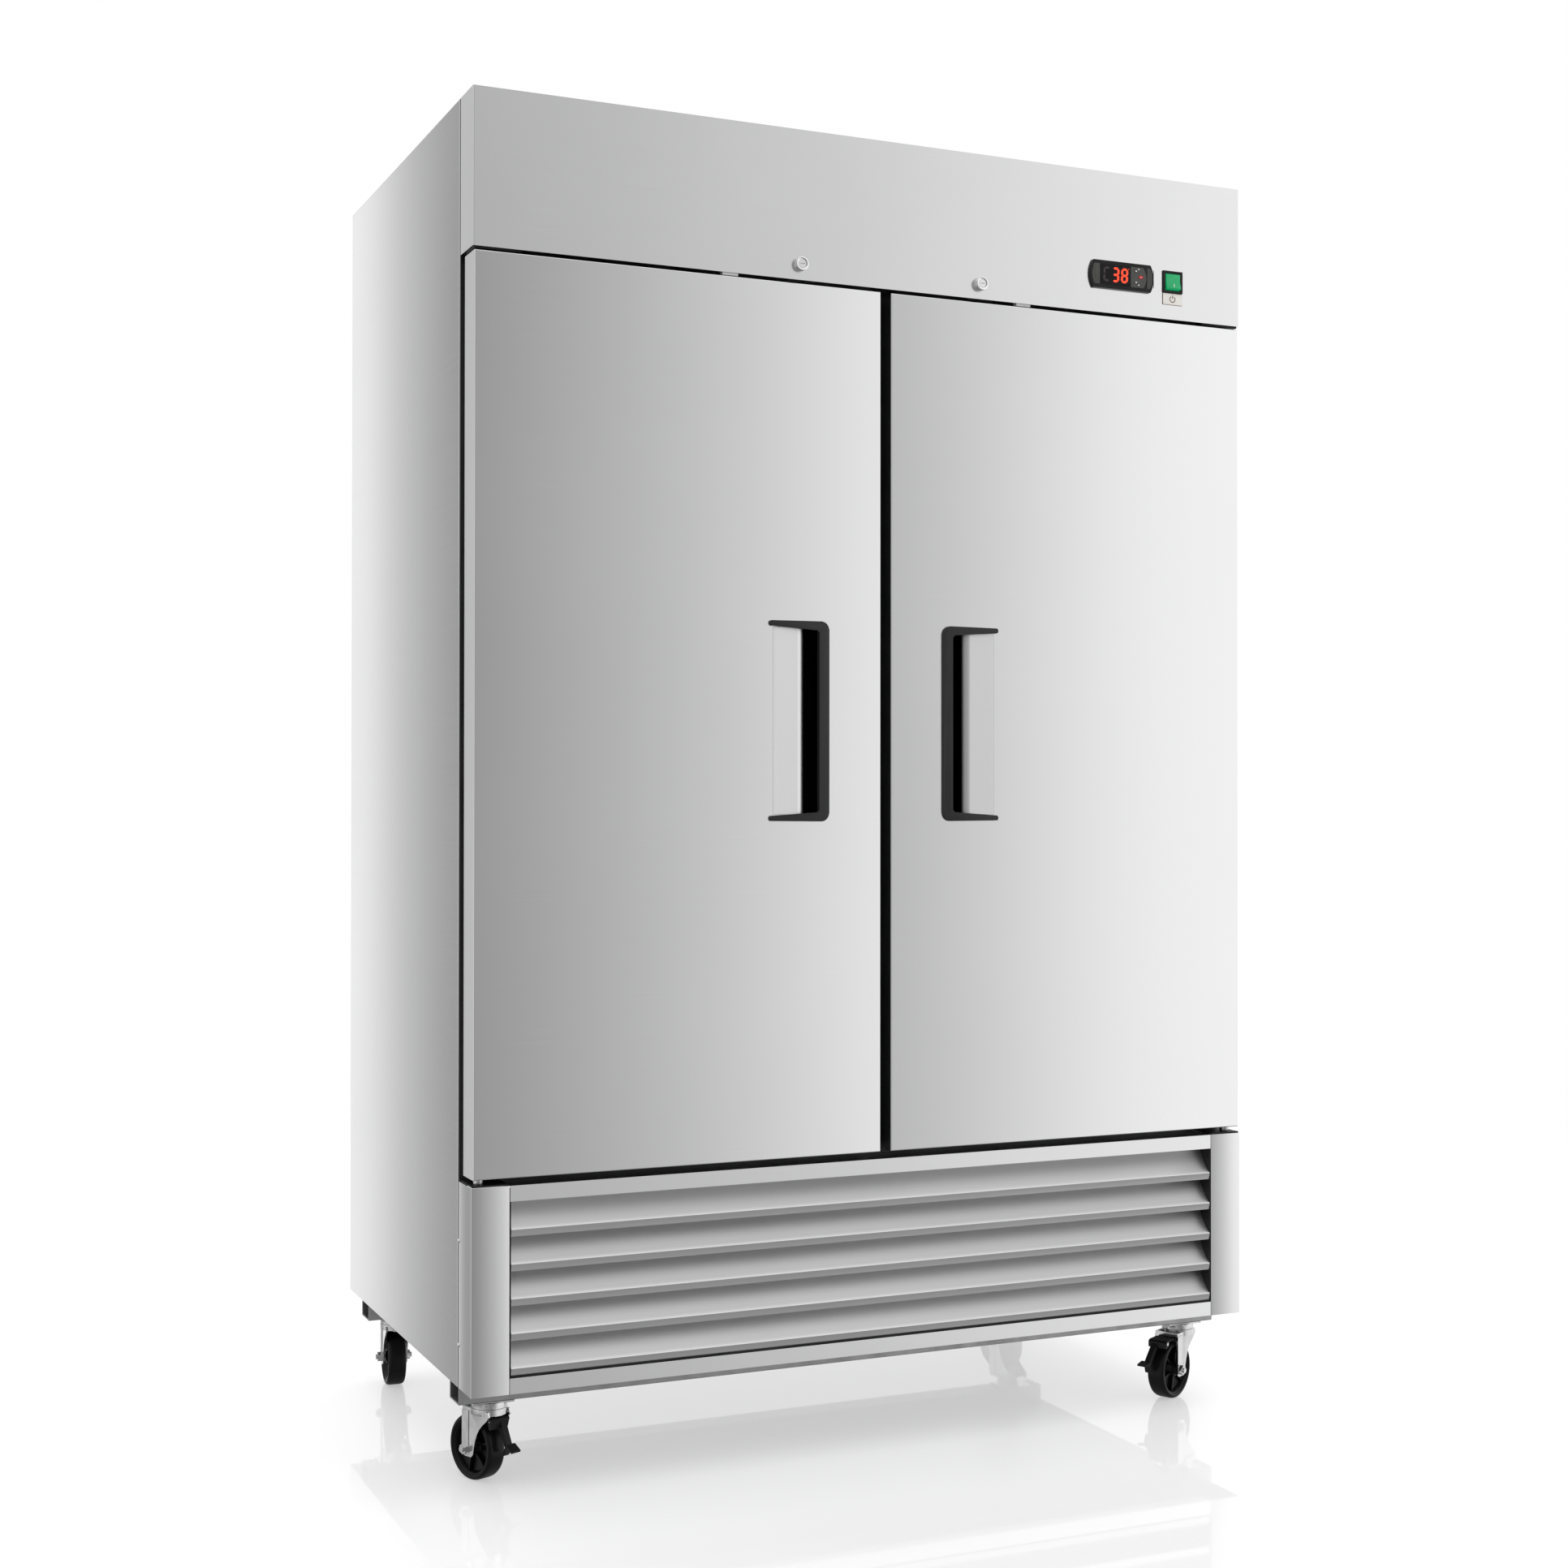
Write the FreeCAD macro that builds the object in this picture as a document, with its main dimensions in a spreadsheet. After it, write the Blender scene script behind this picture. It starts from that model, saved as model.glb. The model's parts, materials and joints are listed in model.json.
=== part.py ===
"""Two-door commercial reach-in refrigerator on swivel casters.

Frame: millimetres, +X to the viewer's right, +Y to the back, +Z up.  The origin is on the floor,
in the middle of the overall width and depth.  Every length below is a cell of the spreadsheet
"dims"; Size objects carry the number and the cell expression together, so that each feature
stays bound to the sheet.
"""
import FreeCAD, Part
import math
import os
import types

import Sketcher

Vector = FreeCAD.Vector
Rotation = FreeCAD.Rotation

DIMENSIONS = [
    # the whole cabinet
    ("half_width", 691.0, "outer side face, from the middle plane"),
    ("front_face", 398.5, "door and header face, in front of the origin"),
    ("back_face", 407.5, "back panel face, behind the origin"),
    ("base_level", 160.0, "underside of the cabinet above the floor"),
    ("cabinet_height", 1966.5, "cabinet without its casters"),
    ("front_depth", 68.5, "depth of the header, corner posts and door line"),
    ("sheet", 1.0, "sheet metal thickness"),
    ("wall", 54.0, "foam thickness of walls, floor and ceiling"),
    ("corner_round", 1.6, "bend radius on visible folded edges"),
    ("seam", 6.0, "dark joint between the side panels and the folded front"),
    ("hem_depth", 6.0, "folded hem along the front edge of each side panel"),
    ("hem_width", 4.0, "thickness of that hem"),
    ("hem_round", 3.0, "rounding of the hem's outer edge"),
    # header
    ("header_height", 241.0, "header panel"),
    ("lock_level", 1910.0, "lock axes above the floor"),
    ("lock_left", 153.0, "left lock, left of the middle"),
    ("lock_right", 174.0, "right lock, right of the middle"),
    ("lock_ring", 11.5, "lock face radius"),
    ("lock_stand", 9.0, "lock face proud of the header"),
    ("lock_barrel", 9.2, "threaded lock barrel radius"),
    ("plug_radius", 7.1, "turning lock plug"),
    ("cam_reach", 40.0, "lock cam from its axis to its tip"),
    ("cam_width", 9.0, "lock cam bar"),
    ("running_gap", 0.06, "radial clearance of turning and sliding fits"),
    ("panel_middle", 448.3, "middle of the temperature controller"),
    ("panel_level", 1950.0, "controller and switch above the floor"),
    ("panel_half", 57.0, "controller bezel between its bowed ends, half"),
    ("panel_bow", 6.3, "how far each end bows out"),
    ("panel_height", 47.0, "controller bezel"),
    ("panel_stand", 5.0, "controller bezel proud of the header"),
    ("switch_middle", 552.5, "middle of the power switch"),
    ("switch_bezel", 40.0, "switch bezel, square"),
    ("rocker_size", 28.6, "switch rocker, square"),
    # doors
    ("door_gap", 5.5, "between header and doors"),
    ("door_height", 1395.2, "each door"),
    ("door_depth", 54.0, "each door's thickness"),
    ("door_outer", 688.2, "outer door edge from the middle"),
    ("door_inner", 9.3, "inner door edge from the middle"),
    ("hinge_axis", 674.0, "hinge pins from the middle"),
    ("hinge_inset", 22.0, "hinge pins behind the door face"),
    ("pin_radius", 5.0, "hinge pin"),
    ("pin_depth", 22.0, "hinge pin inside the door"),
    ("gasket_width", 20.0, "door gasket strip"),
    ("gasket_inset", 19.0, "gasket from the door's edges"),
    ("handle_low", 1020.0, "underside of each handle"),
    ("handle_height", 320.5, "handle frame"),
    ("handle_outer", 103.5, "outer edge of the grip bar from the middle"),
    ("handle_inner", 121.0, "inner edge of the grip bar"),
    ("handle_tips", 206.0, "arm tips from the middle"),
    ("handle_stand", 5.0, "handle frame proud of the door"),
    ("pocket_edge", 199.0, "where the finger scoop starts"),
    ("pocket_depth", 38.0, "deepest part of the finger scoop"),
    ("pocket_slope", 2.4, "slope of the scoop's flat part, degrees"),
    ("pocket_turn", 157.0, "axis of the scoop's curve, from the middle"),
    ("pocket_radius", 16.0, "radius of the scoop's curve"),
    ("notch_depth", 14.0, "slot for the lock cam in the door's top"),
    # base
    ("base_height", 313.5, "corner posts and grille"),
    ("post_width", 59.5, "corner post face"),
    ("grille_rail", 24.0, "top and bottom grille rails"),
    ("blade_pitch", 52.2, "between louvre blades"),
    ("blade_first", 38.7, "lowest louvre lip top above the cabinet's underside"),
    ("blade_lip", 11.0, "flat lip of a louvre blade"),
    ("blade_radius", 95.0, "curve of a louvre blade"),
    ("blade_start", 38.0, "slope of a blade at its lip, degrees"),
    ("blade_depth", 32.0, "depth of a blade"),
    ("blade_rise", 45.5, "height of a blade above its lip"),
    ("rail_half", 688.0, "caster rail, half length"),
    ("rail_depth", 51.0, "caster rail"),
    ("rail_height", 30.0, "caster rail"),
    # storage space
    ("frame_depth", 8.0, "breaker strips round the door openings"),
    ("opening_drop", 45.5, "door opening's top below the header"),
    ("mullion_half", 45.0, "middle mullion, half width"),
    ("shelf_first", 800.0, "lowest shelf above the floor"),
    ("shelf_pitch", 330.0, "between shelves"),
    ("shelf_near", 12.0, "shelf edge nearest the middle"),
    ("shelf_far", 624.0, "shelf edge nearest the side wall"),
    ("shelf_front", 250.0, "shelf front, in front of the origin"),
    ("shelf_back", 335.0, "shelf back, behind the origin"),
    # casters
    ("caster_x", 632.0, "swivel axes from the middle"),
    ("caster_front", 294.0, "front swivel axes, in front of the origin"),
    ("caster_rear", 299.5, "rear swivel axes, behind the origin"),
    ("wheel_radius", 50.8, "caster wheel"),
    ("wheel_half", 16.0, "caster wheel, half width"),
    ("axle_radius", 4.0, "caster axle"),
    ("caster_trail", 30.0, "axle behind the swivel axis"),
    ("race_radius", 28.0, "caster swivel race"),
    ("leg_space", 19.0, "inside of each fork leg, from the middle of the wheel"),
    ("leg_sheet", 3.0, "fork leg thickness"),
    ("brake_ahead", 50.0, "brake pin ahead of the wheel's middle, where the brake is in front"),
    ("brake_behind", 34.0, "brake pin behind the wheel's middle, where the brake is at the rear"),
    ("brake_drop", 29.0, "brake pin below the caster rail"),
]

CASTERS = [  # node ending, side, front or rear, heading of the trailing wheel in degrees, and
    # which way the foot brake stands out from the wheel: -1 ahead of it, 1 behind it, 0 none
    ("front_left", -1, "front", 22.0, -1),
    ("front_right", 1, "front", 117.0, 1),
    ("rear_left", -1, "rear", -5.0, 0),
    ("rear_right", 1, "rear", 12.0, 0),
]
LEVER_TURN = {-1: 18.0, 1: 0.0}  # turn of each brake lever about its pin, degrees


class Size:
    """A length that carries its number and the spreadsheet expression it comes from."""

    def __init__(self, number, text):
        self.number = number
        self.text = text

    def __add__(self, other):
        other = as_size(other)
        return Size(self.number + other.number, f"({self.text} + {other.text})")

    def __radd__(self, other):
        return as_size(other) + self

    def __sub__(self, other):
        other = as_size(other)
        return Size(self.number - other.number, f"({self.text} - {other.text})")

    def __rsub__(self, other):
        return as_size(other) - self

    def __mul__(self, factor):
        return Size(self.number * factor, f"({self.text} * {factor!r})")

    __rmul__ = __mul__

    def __truediv__(self, divisor):
        return Size(self.number / divisor, f"({self.text} / {divisor!r})")

    def __neg__(self):
        return Size(-self.number, f"(-1 * {self.text})")

    def __lt__(self, other):
        return self.number < as_size(other).number


def as_size(value):
    return value if isinstance(value, Size) else Size(float(value), f"({float(value)!r})")


doc = FreeCAD.newDocument("reach_in_refrigerator")
sheet = doc.addObject("Spreadsheet::Sheet", "dims")
d = types.SimpleNamespace()
for row, (alias, number, meaning) in enumerate(DIMENSIONS, start=1):
    sheet.set(f"A{row}", meaning)
    sheet.set(f"B{row}", str(number))
    sheet.setAlias(f"B{row}", alias)
    setattr(d, alias, Size(number, f"dims.{alias}"))
doc.recompute()

nodes = {}

# planes that many pieces share
FRONT = -d.front_face
BODY = FRONT + d.front_depth
BACK = d.back_face
BASE = d.base_level
TOP = BASE + d.cabinet_height
BASE_TOP = BASE + d.base_height
HEADER_BOTTOM = TOP - d.header_height
DOOR_TOP = HEADER_BOTTOM - d.door_gap
DOOR_BOTTOM = DOOR_TOP - d.door_height
DOOR_BACK = FRONT + d.door_depth
SIDE = d.half_width
FOAM_FRONT = BODY + d.frame_depth
CAVITY_SIDE = SIDE - d.sheet - d.wall - d.sheet
CAVITY_FLOOR = BASE_TOP + d.wall + d.sheet
CAVITY_TOP = TOP - d.sheet - d.wall - d.sheet
CAVITY_BACK = BACK - d.sheet - d.wall - d.sheet
OPENING_TOP = HEADER_BOTTOM - d.opening_drop


# ---------------------------------------------------------------- building blocks
def bind(piece, property_name, size):
    piece.setExpression(property_name, as_size(size).text)


def locate(piece, point, rotation=None):
    if rotation is not None:
        piece.Placement = FreeCAD.Placement(Vector(), rotation)
    for letter, coordinate in zip("xyz", point):
        bind(piece, f"Placement.Base.{letter}", coordinate)
    return piece


def block(corner, opposite, rotation=None):
    """A box between two opposite corners, given in any order."""
    pairs = [sorted((as_size(a), as_size(b))) for a, b in zip(corner, opposite)]
    piece = doc.addObject("Part::Box", "Block")
    for property_name, (low, high) in zip(("Length", "Width", "Height"), pairs):
        bind(piece, property_name, high - low)
    return locate(piece, [low for low, high in pairs], rotation)


def slab(size, corner, rotation):
    """A turned box: its size, and the place of the corner that it turns about."""
    piece = doc.addObject("Part::Box", "Slab")
    for property_name, length in zip(("Length", "Width", "Height"), size):
        bind(piece, property_name, length)
    return locate(piece, corner, rotation)


def rod(start, radius, length, along):
    """A cylinder from start, along x, y or z."""
    piece = doc.addObject("Part::Cylinder", "Rod")
    bind(piece, "Radius", radius)
    bind(piece, "Height", length)
    direction = {"x": Vector(1, 0, 0), "y": Vector(0, 1, 0), "z": Vector(0, 0, 1)}[along]
    return locate(piece, start, Rotation(Vector(0, 0, 1), direction))


def hexagon(start, radius, length, along):
    piece = doc.addObject("Part::Prism", "Hexagon")
    piece.Polygon = 6
    bind(piece, "Circumradius", radius)
    bind(piece, "Height", length)
    direction = {"x": Vector(1, 0, 0), "y": Vector(0, 1, 0), "z": Vector(0, 0, 1)}[along]
    return locate(piece, start, Rotation(Vector(0, 0, 1), direction))


def ring(centre, radius, wire, along):
    """A wire ring: a torus round the given direction."""
    piece = doc.addObject("Part::Torus", "Ring")
    bind(piece, "Radius1", radius)
    bind(piece, "Radius2", wire)
    direction = {"x": Vector(1, 0, 0), "y": Vector(0, 1, 0), "z": Vector(0, 0, 1)}[along]
    return locate(piece, centre, Rotation(Vector(0, 0, 1), direction))


def ball(centre, radius):
    piece = doc.addObject("Part::Sphere", "Ball")
    bind(piece, "Radius", radius)
    return locate(piece, centre)


def fused(pieces):
    piece = doc.addObject("Part::MultiFuse", "Fused")
    piece.Shapes = pieces
    return piece


def common(pieces):
    piece = doc.addObject("Part::MultiCommon", "Common")
    piece.Shapes = pieces
    return piece


def group(pieces):
    """Separate solids kept together."""
    piece = doc.addObject("Part::Compound", "Group")
    piece.Links = pieces
    return piece


def cut(base, tools):
    piece = doc.addObject("Part::Cut", "Cut")
    piece.Base = base
    piece.Tool = tools[0] if len(tools) == 1 else group(tools)
    return piece


def mirrored(source):
    """The same piece on the other side of the middle plane."""
    piece = doc.addObject("Part::Mirroring", "Mirrored")
    piece.Source = source
    piece.Normal = Vector(1, 0, 0)
    return piece


def node(label, piece):
    piece.Label = label
    nodes[label] = piece
    return piece


def outline_sketch(body, plane, outline):
    """A closed outline of straight edges, each corner bound to the sheet."""
    sketch = body.newObject("Sketcher::SketchObject", "Outline")
    origin_plane = next(item for item in body.Origin.OriginFeatures if item.Role == plane)
    sketch.AttachmentSupport = [(origin_plane, "")]
    sketch.MapMode = "FlatFace"
    corners = [(as_size(u), as_size(v)) for u, v in outline]
    flat = [Vector(u.number, v.number, 0) for u, v in corners]
    for index, point in enumerate(flat):
        sketch.addGeometry(Part.LineSegment(point, flat[(index + 1) % len(flat)]))
    for index in range(len(flat)):
        following = (index + 1) % len(flat)
        sketch.addConstraint(Sketcher.Constraint("Coincident", index, 2, following, 1))
    for index, corner in enumerate(corners):
        for kind, size in zip(("DistanceX", "DistanceY"), corner):
            limit = Sketcher.Constraint(kind, -1, 1, index, 1, size.number)
            number = sketch.addConstraint(limit)
            sketch.setExpression(f"Constraints[{number}]", size.text)
    return sketch


def padded(plane, outline, length, origin=(0, 0, 0)):
    """An outline on an origin plane, padded along that plane's normal."""
    body = doc.addObject("PartDesign::Body", "Body")
    sketch = outline_sketch(body, plane, outline)
    pad = body.newObject("PartDesign::Pad", "Pad")
    pad.Profile = sketch
    bind(pad, "Length", length)
    body.Tip = pad
    locate(body, origin)
    return body


def turned(outline, origin=(0, 0, 0)):
    """An outline of (along the axle, from the axle) corners, turned about the X axis."""
    body = doc.addObject("PartDesign::Body", "Body")
    sketch = outline_sketch(body, "XY_Plane", outline)
    revolution = body.newObject("PartDesign::Revolution", "Turning")
    revolution.Profile = sketch
    revolution.ReferenceAxis = (sketch, ["H_Axis"])
    revolution.Angle = 360.0
    body.Tip = revolution
    locate(body, origin)
    return body


def rounded(body, radius, wanted):
    """Fillet the edges of a body's last feature that the given test picks out."""
    doc.recompute()
    base = body.Tip
    names = [f"Edge{number}" for number, edge in enumerate(base.Shape.Edges, start=1)
             if wanted(edge.BoundBox)]
    fillet = body.newObject("PartDesign::Fillet", "Rounding")
    fillet.Base = (base, names)
    bind(fillet, "Radius", radius)
    body.Tip = fillet
    return body


# ---------------------------------------------------------------- cabinet shell
def side_panels():
    """Plain sheets, each with a rounded hem along its front edge."""
    hem_front = BODY + d.seam
    hem_back = hem_front + d.hem_depth
    outline = [(-SIDE, BACK), (-SIDE, hem_front), (-SIDE + d.hem_width, hem_front),
               (-SIDE + d.hem_width, hem_back), (-SIDE + d.sheet, hem_back), (-SIDE + d.sheet, BACK)]
    panel = padded("XY_Plane", outline, d.cabinet_height - d.sheet, (0, 0, BASE))
    outer, front = -SIDE.number, hem_front.number
    rounded(panel, d.hem_round,
            lambda box: box.ZLength > 100 and box.XMax < outer + 0.5 and box.YMax < front + 0.5)
    return node("side_panels", group([panel, mirrored(panel)]))


def hem_space():
    """Room for the left side panel's hem and the seam in front of it."""
    return block((-SIDE - 1.0, BODY - 1.0, BASE - 1.0),
                 (-SIDE + d.hem_width, BODY + d.seam + d.hem_depth, TOP + 1.0))


def top_panel():
    return node("top_panel", block((-SIDE, BODY, TOP - d.sheet), (SIDE, BACK, TOP)))


def back_panel():
    """Plain sheet, with rows of air slots over the machine space and a hole for the inlet."""
    panel = block((-SIDE + d.sheet, BACK - d.sheet, BASE), (SIDE - d.sheet, BACK, TOP - d.sheet))
    slots = []
    for column in range(3):
        for level in range(8):
            left = -540.0 + 360.0 * column
            low = BASE + 60.0 + 26.0 * level
            slots.append(block((left, BACK - 5.0, low), (left + 280.0, BACK + 5.0, low + 9.0)))
    inlet = block((576.0, BACK - 5.0, BASE + 70.0), (604.0, BACK + 5.0, BASE + 92.0))
    return node("back_panel", cut(panel, slots + [inlet]))


def base_pans():
    """The pan that carries the compressor, and the deck under the insulated box."""
    inside = SIDE - d.sheet
    left_space = hem_space()
    spaces = [left_space, mirrored(left_space)]
    pan = block((-inside, BODY, BASE), (inside, BACK - d.sheet, BASE + 1.5))
    deck = block((-inside, BODY, BASE_TOP - d.sheet), (inside, BACK - d.sheet, BASE_TOP))
    return node("base_pans", group([cut(pan, spaces), cut(deck, spaces)]))


def header_panel():
    """Folded box, open at the back, with holes for the locks, their cams and the controls."""
    wrapped = [(-SIDE, FRONT), (SIDE, FRONT), (SIDE, BODY), (-SIDE, BODY)]
    outer = padded("XY_Plane", wrapped, d.header_height, (0, 0, HEADER_BOTTOM))
    front = d.front_face.number
    rounded(outer, d.corner_round,
            lambda box: box.ZLength > 100 and box.YMin < -front + 1)
    inner = block((-SIDE + d.sheet, FRONT + d.sheet, HEADER_BOTTOM + d.sheet),
                  (SIDE - d.sheet, BODY + 5.0, TOP - d.sheet))
    holes = [inner]
    for lock in (-d.lock_left, d.lock_right):
        holes.append(rod((lock, FRONT - 5.0, d.lock_level), d.lock_barrel, 12.0, "y"))
        holes.append(cam_slot(lock, HEADER_BOTTOM - 5.0, HEADER_BOTTOM + 5.0))
    holes.append(block((d.panel_middle - 35.5, FRONT - 5.0, d.panel_level - 14.5),
                       (d.panel_middle + 35.5, FRONT + 5.0, d.panel_level + 14.5)))
    half = d.rocker_size / 2 + 2.2
    holes.append(block((d.switch_middle - half, FRONT - 5.0, d.panel_level - half),
                       (d.switch_middle + half, FRONT + 5.0, d.panel_level + half)))
    return node("header_panel", cut(outer, holes))


def cam_slot(lock, low, high):
    """The slot that a lock cam swings down through, to the right of its lock."""
    return block((lock - d.cam_width, FRONT + 24.0, low), (lock + d.cam_reach, FRONT + 32.0, high))


def corner_posts():
    """Folded channels either side of the grille."""
    edge = SIDE - d.post_width
    back = FRONT + 30.0
    outline = [(-SIDE, BODY), (-SIDE, FRONT), (-edge, FRONT), (-edge, back),
               (-edge - d.sheet, back), (-edge - d.sheet, FRONT + d.sheet),
               (-SIDE + d.sheet, FRONT + d.sheet), (-SIDE + d.sheet, BODY)]
    post = padded("XY_Plane", outline, d.base_height, (0, 0, BASE))
    front = d.front_face.number
    rounded(post, d.corner_round / 2,
            lambda box: box.ZLength > 100 and box.YMax < -front + 0.5)
    return node("corner_posts", group([post, mirrored(post)]))


def grille_frame():
    """Channels along the top and the bottom of the louvres; the top one reaches back to the box."""
    half = SIDE - d.post_width - 1.0
    flange = FRONT + 26.0
    rails = []
    for low, top_flange in ((BASE, flange), (BASE_TOP - d.grille_rail, BODY - 0.5)):
        high = low + d.grille_rail
        outline = [(FRONT, low), (FRONT, high), (top_flange, high), (top_flange, high - d.sheet),
                   (FRONT + d.sheet, high - d.sheet), (FRONT + d.sheet, low + d.sheet),
                   (flange, low + d.sheet), (flange, low)]
        rails.append(padded("YZ_Plane", outline, half * 2, (-half, 0, 0)))
    return node("grille_frame", group(rails))


def grille_cheeks():
    """Black end plates that the louvre blades are fixed between, and the strip below the lowest."""
    half = SIDE - d.post_width - 1.0
    low = BASE + d.grille_rail
    high = BASE_TOP - d.grille_rail - 0.5
    cheek = block((-half, FRONT + 1.2, low + 0.5), (-half + 1.5, FRONT + 60.0, high))
    strip = block((-half + 2.0, FRONT + 1.6, low), (half - 2.0, FRONT + 4.0, low + 3.6))
    return node("grille_cheeks", group([cheek, mirrored(cheek), strip]))


def louvre_blade(lip_top):
    """A flat lip, and above it a hollow curve that runs up and back."""
    half = SIDE - d.post_width - 3.0
    slope = math.radians(d.blade_start.number)
    centre = (-half, FRONT - d.blade_radius * math.sin(slope),
              lip_top + d.blade_radius * math.cos(slope))
    outer = rod(centre, d.blade_radius + d.sheet, half * 2, "x")
    inner = rod(centre, d.blade_radius, half * 2, "x")
    window = block((-half, FRONT + 0.01, lip_top - d.sheet),
                   (half, FRONT + d.blade_depth, lip_top + d.blade_rise))
    curve = common([cut(outer, [inner]), window])
    lip = block((-half, FRONT, lip_top - d.blade_lip), (half, FRONT + d.sheet, lip_top))
    return fused([curve, lip])


def grille_blades():
    blades = [louvre_blade(BASE + d.blade_first + d.blade_pitch * number) for number in range(5)]
    return node("grille_blades", group(blades))


def base_rails():
    """Box-section rails across the front and the back, which carry the casters."""
    rails = []
    for middle in (-d.caster_front, d.caster_rear):
        low = (-d.rail_half, middle - d.rail_depth / 2, BASE - d.rail_height)
        high = (d.rail_half, middle + d.rail_depth / 2, BASE)
        core_low = (-d.rail_half - 1.0, low[1] + 2.5, low[2] + 2.5)
        core_high = (d.rail_half + 1.0, high[1] - 2.5, high[2] - 2.5)
        rails.append(cut(block(low, high), [block(core_low, core_high)]))
    return node("base_rails", group(rails))


# ---------------------------------------------------------------- insulated box
def foam_insulation():
    """Separate foam slabs: sides, back, floor, ceiling and the front above the doors."""
    outside = SIDE - d.sheet
    inside = CAVITY_SIDE + d.sheet
    back = BACK - d.sheet
    back_face = CAVITY_BACK + d.sheet
    low, high = BASE_TOP, TOP - d.sheet
    side = cut(block((-outside, FOAM_FRONT, low), (-inside, back, high)), [hem_space()])
    rear = block((-inside, back_face, low), (inside, back, high))
    floor = block((-inside, FOAM_FRONT, low), (inside, back_face, CAVITY_FLOOR - d.sheet))
    ceiling = block((-inside, FOAM_FRONT, CAVITY_TOP + d.sheet), (inside, back_face, high))
    brow = block((-inside, FOAM_FRONT, OPENING_TOP + d.sheet),
                 (inside, FOAM_FRONT + d.wall, CAVITY_TOP + d.sheet))
    return node("foam_insulation", group([side, mirrored(side), rear, floor, ceiling, brow]))


def interior_liner():
    """Bright inner sheet of the storage space, open at the front below the brow."""
    brow_back = FOAM_FRONT + d.wall
    outer_low = block((-CAVITY_SIDE - d.sheet, FOAM_FRONT, CAVITY_FLOOR - d.sheet),
                      (CAVITY_SIDE + d.sheet, CAVITY_BACK + d.sheet, OPENING_TOP + d.sheet))
    outer_high = block((-CAVITY_SIDE - d.sheet, brow_back, OPENING_TOP),
                       (CAVITY_SIDE + d.sheet, CAVITY_BACK + d.sheet, CAVITY_TOP + d.sheet))
    inner_low = block((-CAVITY_SIDE, FOAM_FRONT - 5.0, CAVITY_FLOOR),
                      (CAVITY_SIDE, CAVITY_BACK, OPENING_TOP))
    inner_high = block((-CAVITY_SIDE, brow_back + d.sheet, OPENING_TOP - 5.0),
                       (CAVITY_SIDE, CAVITY_BACK, CAVITY_TOP))
    return node("interior_liner", cut(fused([outer_low, outer_high]), [inner_low, inner_high]))


def door_frame():
    """Black breaker strips round both openings, the mullion, and the fillers in the side seams."""
    low, high = BASE_TOP, HEADER_BOTTOM
    hem_inside = -SIDE + d.hem_width
    side = block((hem_inside, BODY, low), (-CAVITY_SIDE, FOAM_FRONT, high))
    filler = block((-SIDE + 0.1, BODY, BASE), (hem_inside, BODY + d.seam, TOP - d.sheet))
    sill = block((-CAVITY_SIDE, BODY, low), (CAVITY_SIDE, FOAM_FRONT, CAVITY_FLOOR))
    head = block((-CAVITY_SIDE, BODY, OPENING_TOP), (CAVITY_SIDE, FOAM_FRONT, high))
    mullion = block((-d.mullion_half, BODY, CAVITY_FLOOR),
                    (d.mullion_half, FOAM_FRONT + d.wall, OPENING_TOP))
    return node("door_frame", group([side, mirrored(side), sill, head, mullion,
                                     filler, mirrored(filler)]))


def shelf_levels():
    return [d.shelf_first + d.shelf_pitch * number for number in range(3)]


def shelf_supports():
    """Slotted uprights on the walls and the mullion, and the clips that carry the shelves."""
    low, high = CAVITY_FLOOR + 30.0, OPENING_TOP - 20.0
    mullion_back = FOAM_FRONT + d.wall
    places = [  # the upright's corner, its opposite corner, and the reach of its clips
        ((-CAVITY_SIDE, -240.0), (-CAVITY_SIDE + 6.0, -215.0), (14.0, 0.0)),
        ((-CAVITY_SIDE, 285.0), (-CAVITY_SIDE + 6.0, 310.0), (14.0, 0.0)),
        ((-38.0, mullion_back), (-13.0, mullion_back + 6.0), (0.0, 22.0)),
        ((-38.0, CAVITY_BACK - 6.0), (-13.0, CAVITY_BACK), (0.0, -20.0)),
    ]
    pieces = []
    for (x0, y0), (x1, y1), (reach_x, reach_y) in places:
        pieces.append(block((x0, y0, low), (x1, y1, high)))
        for level in shelf_levels():
            if reach_x:
                corner, opposite = (x1, y0 + 4.0), (x1 + reach_x, y1 - 4.0)
            elif reach_y > 0:
                corner, opposite = (x0 + 4.0, y1), (x1 - 4.0, y1 + reach_y)
            else:
                corner, opposite = (x0 + 4.0, y0), (x1 - 4.0, y0 + reach_y)
            pieces.append(block((*corner, level - 12.0), (*opposite, level - 4.0)))
    left = group(pieces)
    return node("shelf_supports", group([left, mirrored(left)]))


def wire_shelf(level):
    """A rim of thick wire, three bearers across and thin wires from front to back."""
    side_rim, end_rim, bearer, wire = 4.0, 3.8, 3.0, 2.3
    wire_rise, wire_overhang, count = 4.0, 1.0, 24
    left, right = -d.shelf_far, -d.shelf_near
    front, back = -d.shelf_front, d.shelf_back
    width, depth = right - left, back - front
    pieces = [rod((x, front - side_rim, level), side_rim, depth + 2.0 * side_rim, "y")
              for x in (left, right)]
    pieces += [rod((left, y, level), end_rim, width, "x") for y in (front, back)]
    pieces += [rod((left, front + depth * share, level), bearer, width, "x")
               for share in (0.25, 0.5, 0.75)]
    for number in range(1, count):
        start = (left + width * (number / count), front - wire_overhang, level + wire_rise)
        pieces.append(rod(start, wire, depth + 2.0 * wire_overhang, "y"))
    return fused(pieces)


def wire_shelves():
    left = group([wire_shelf(level) for level in shelf_levels()])
    return node("wire_shelves", group([left, mirrored(left)]))


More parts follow.
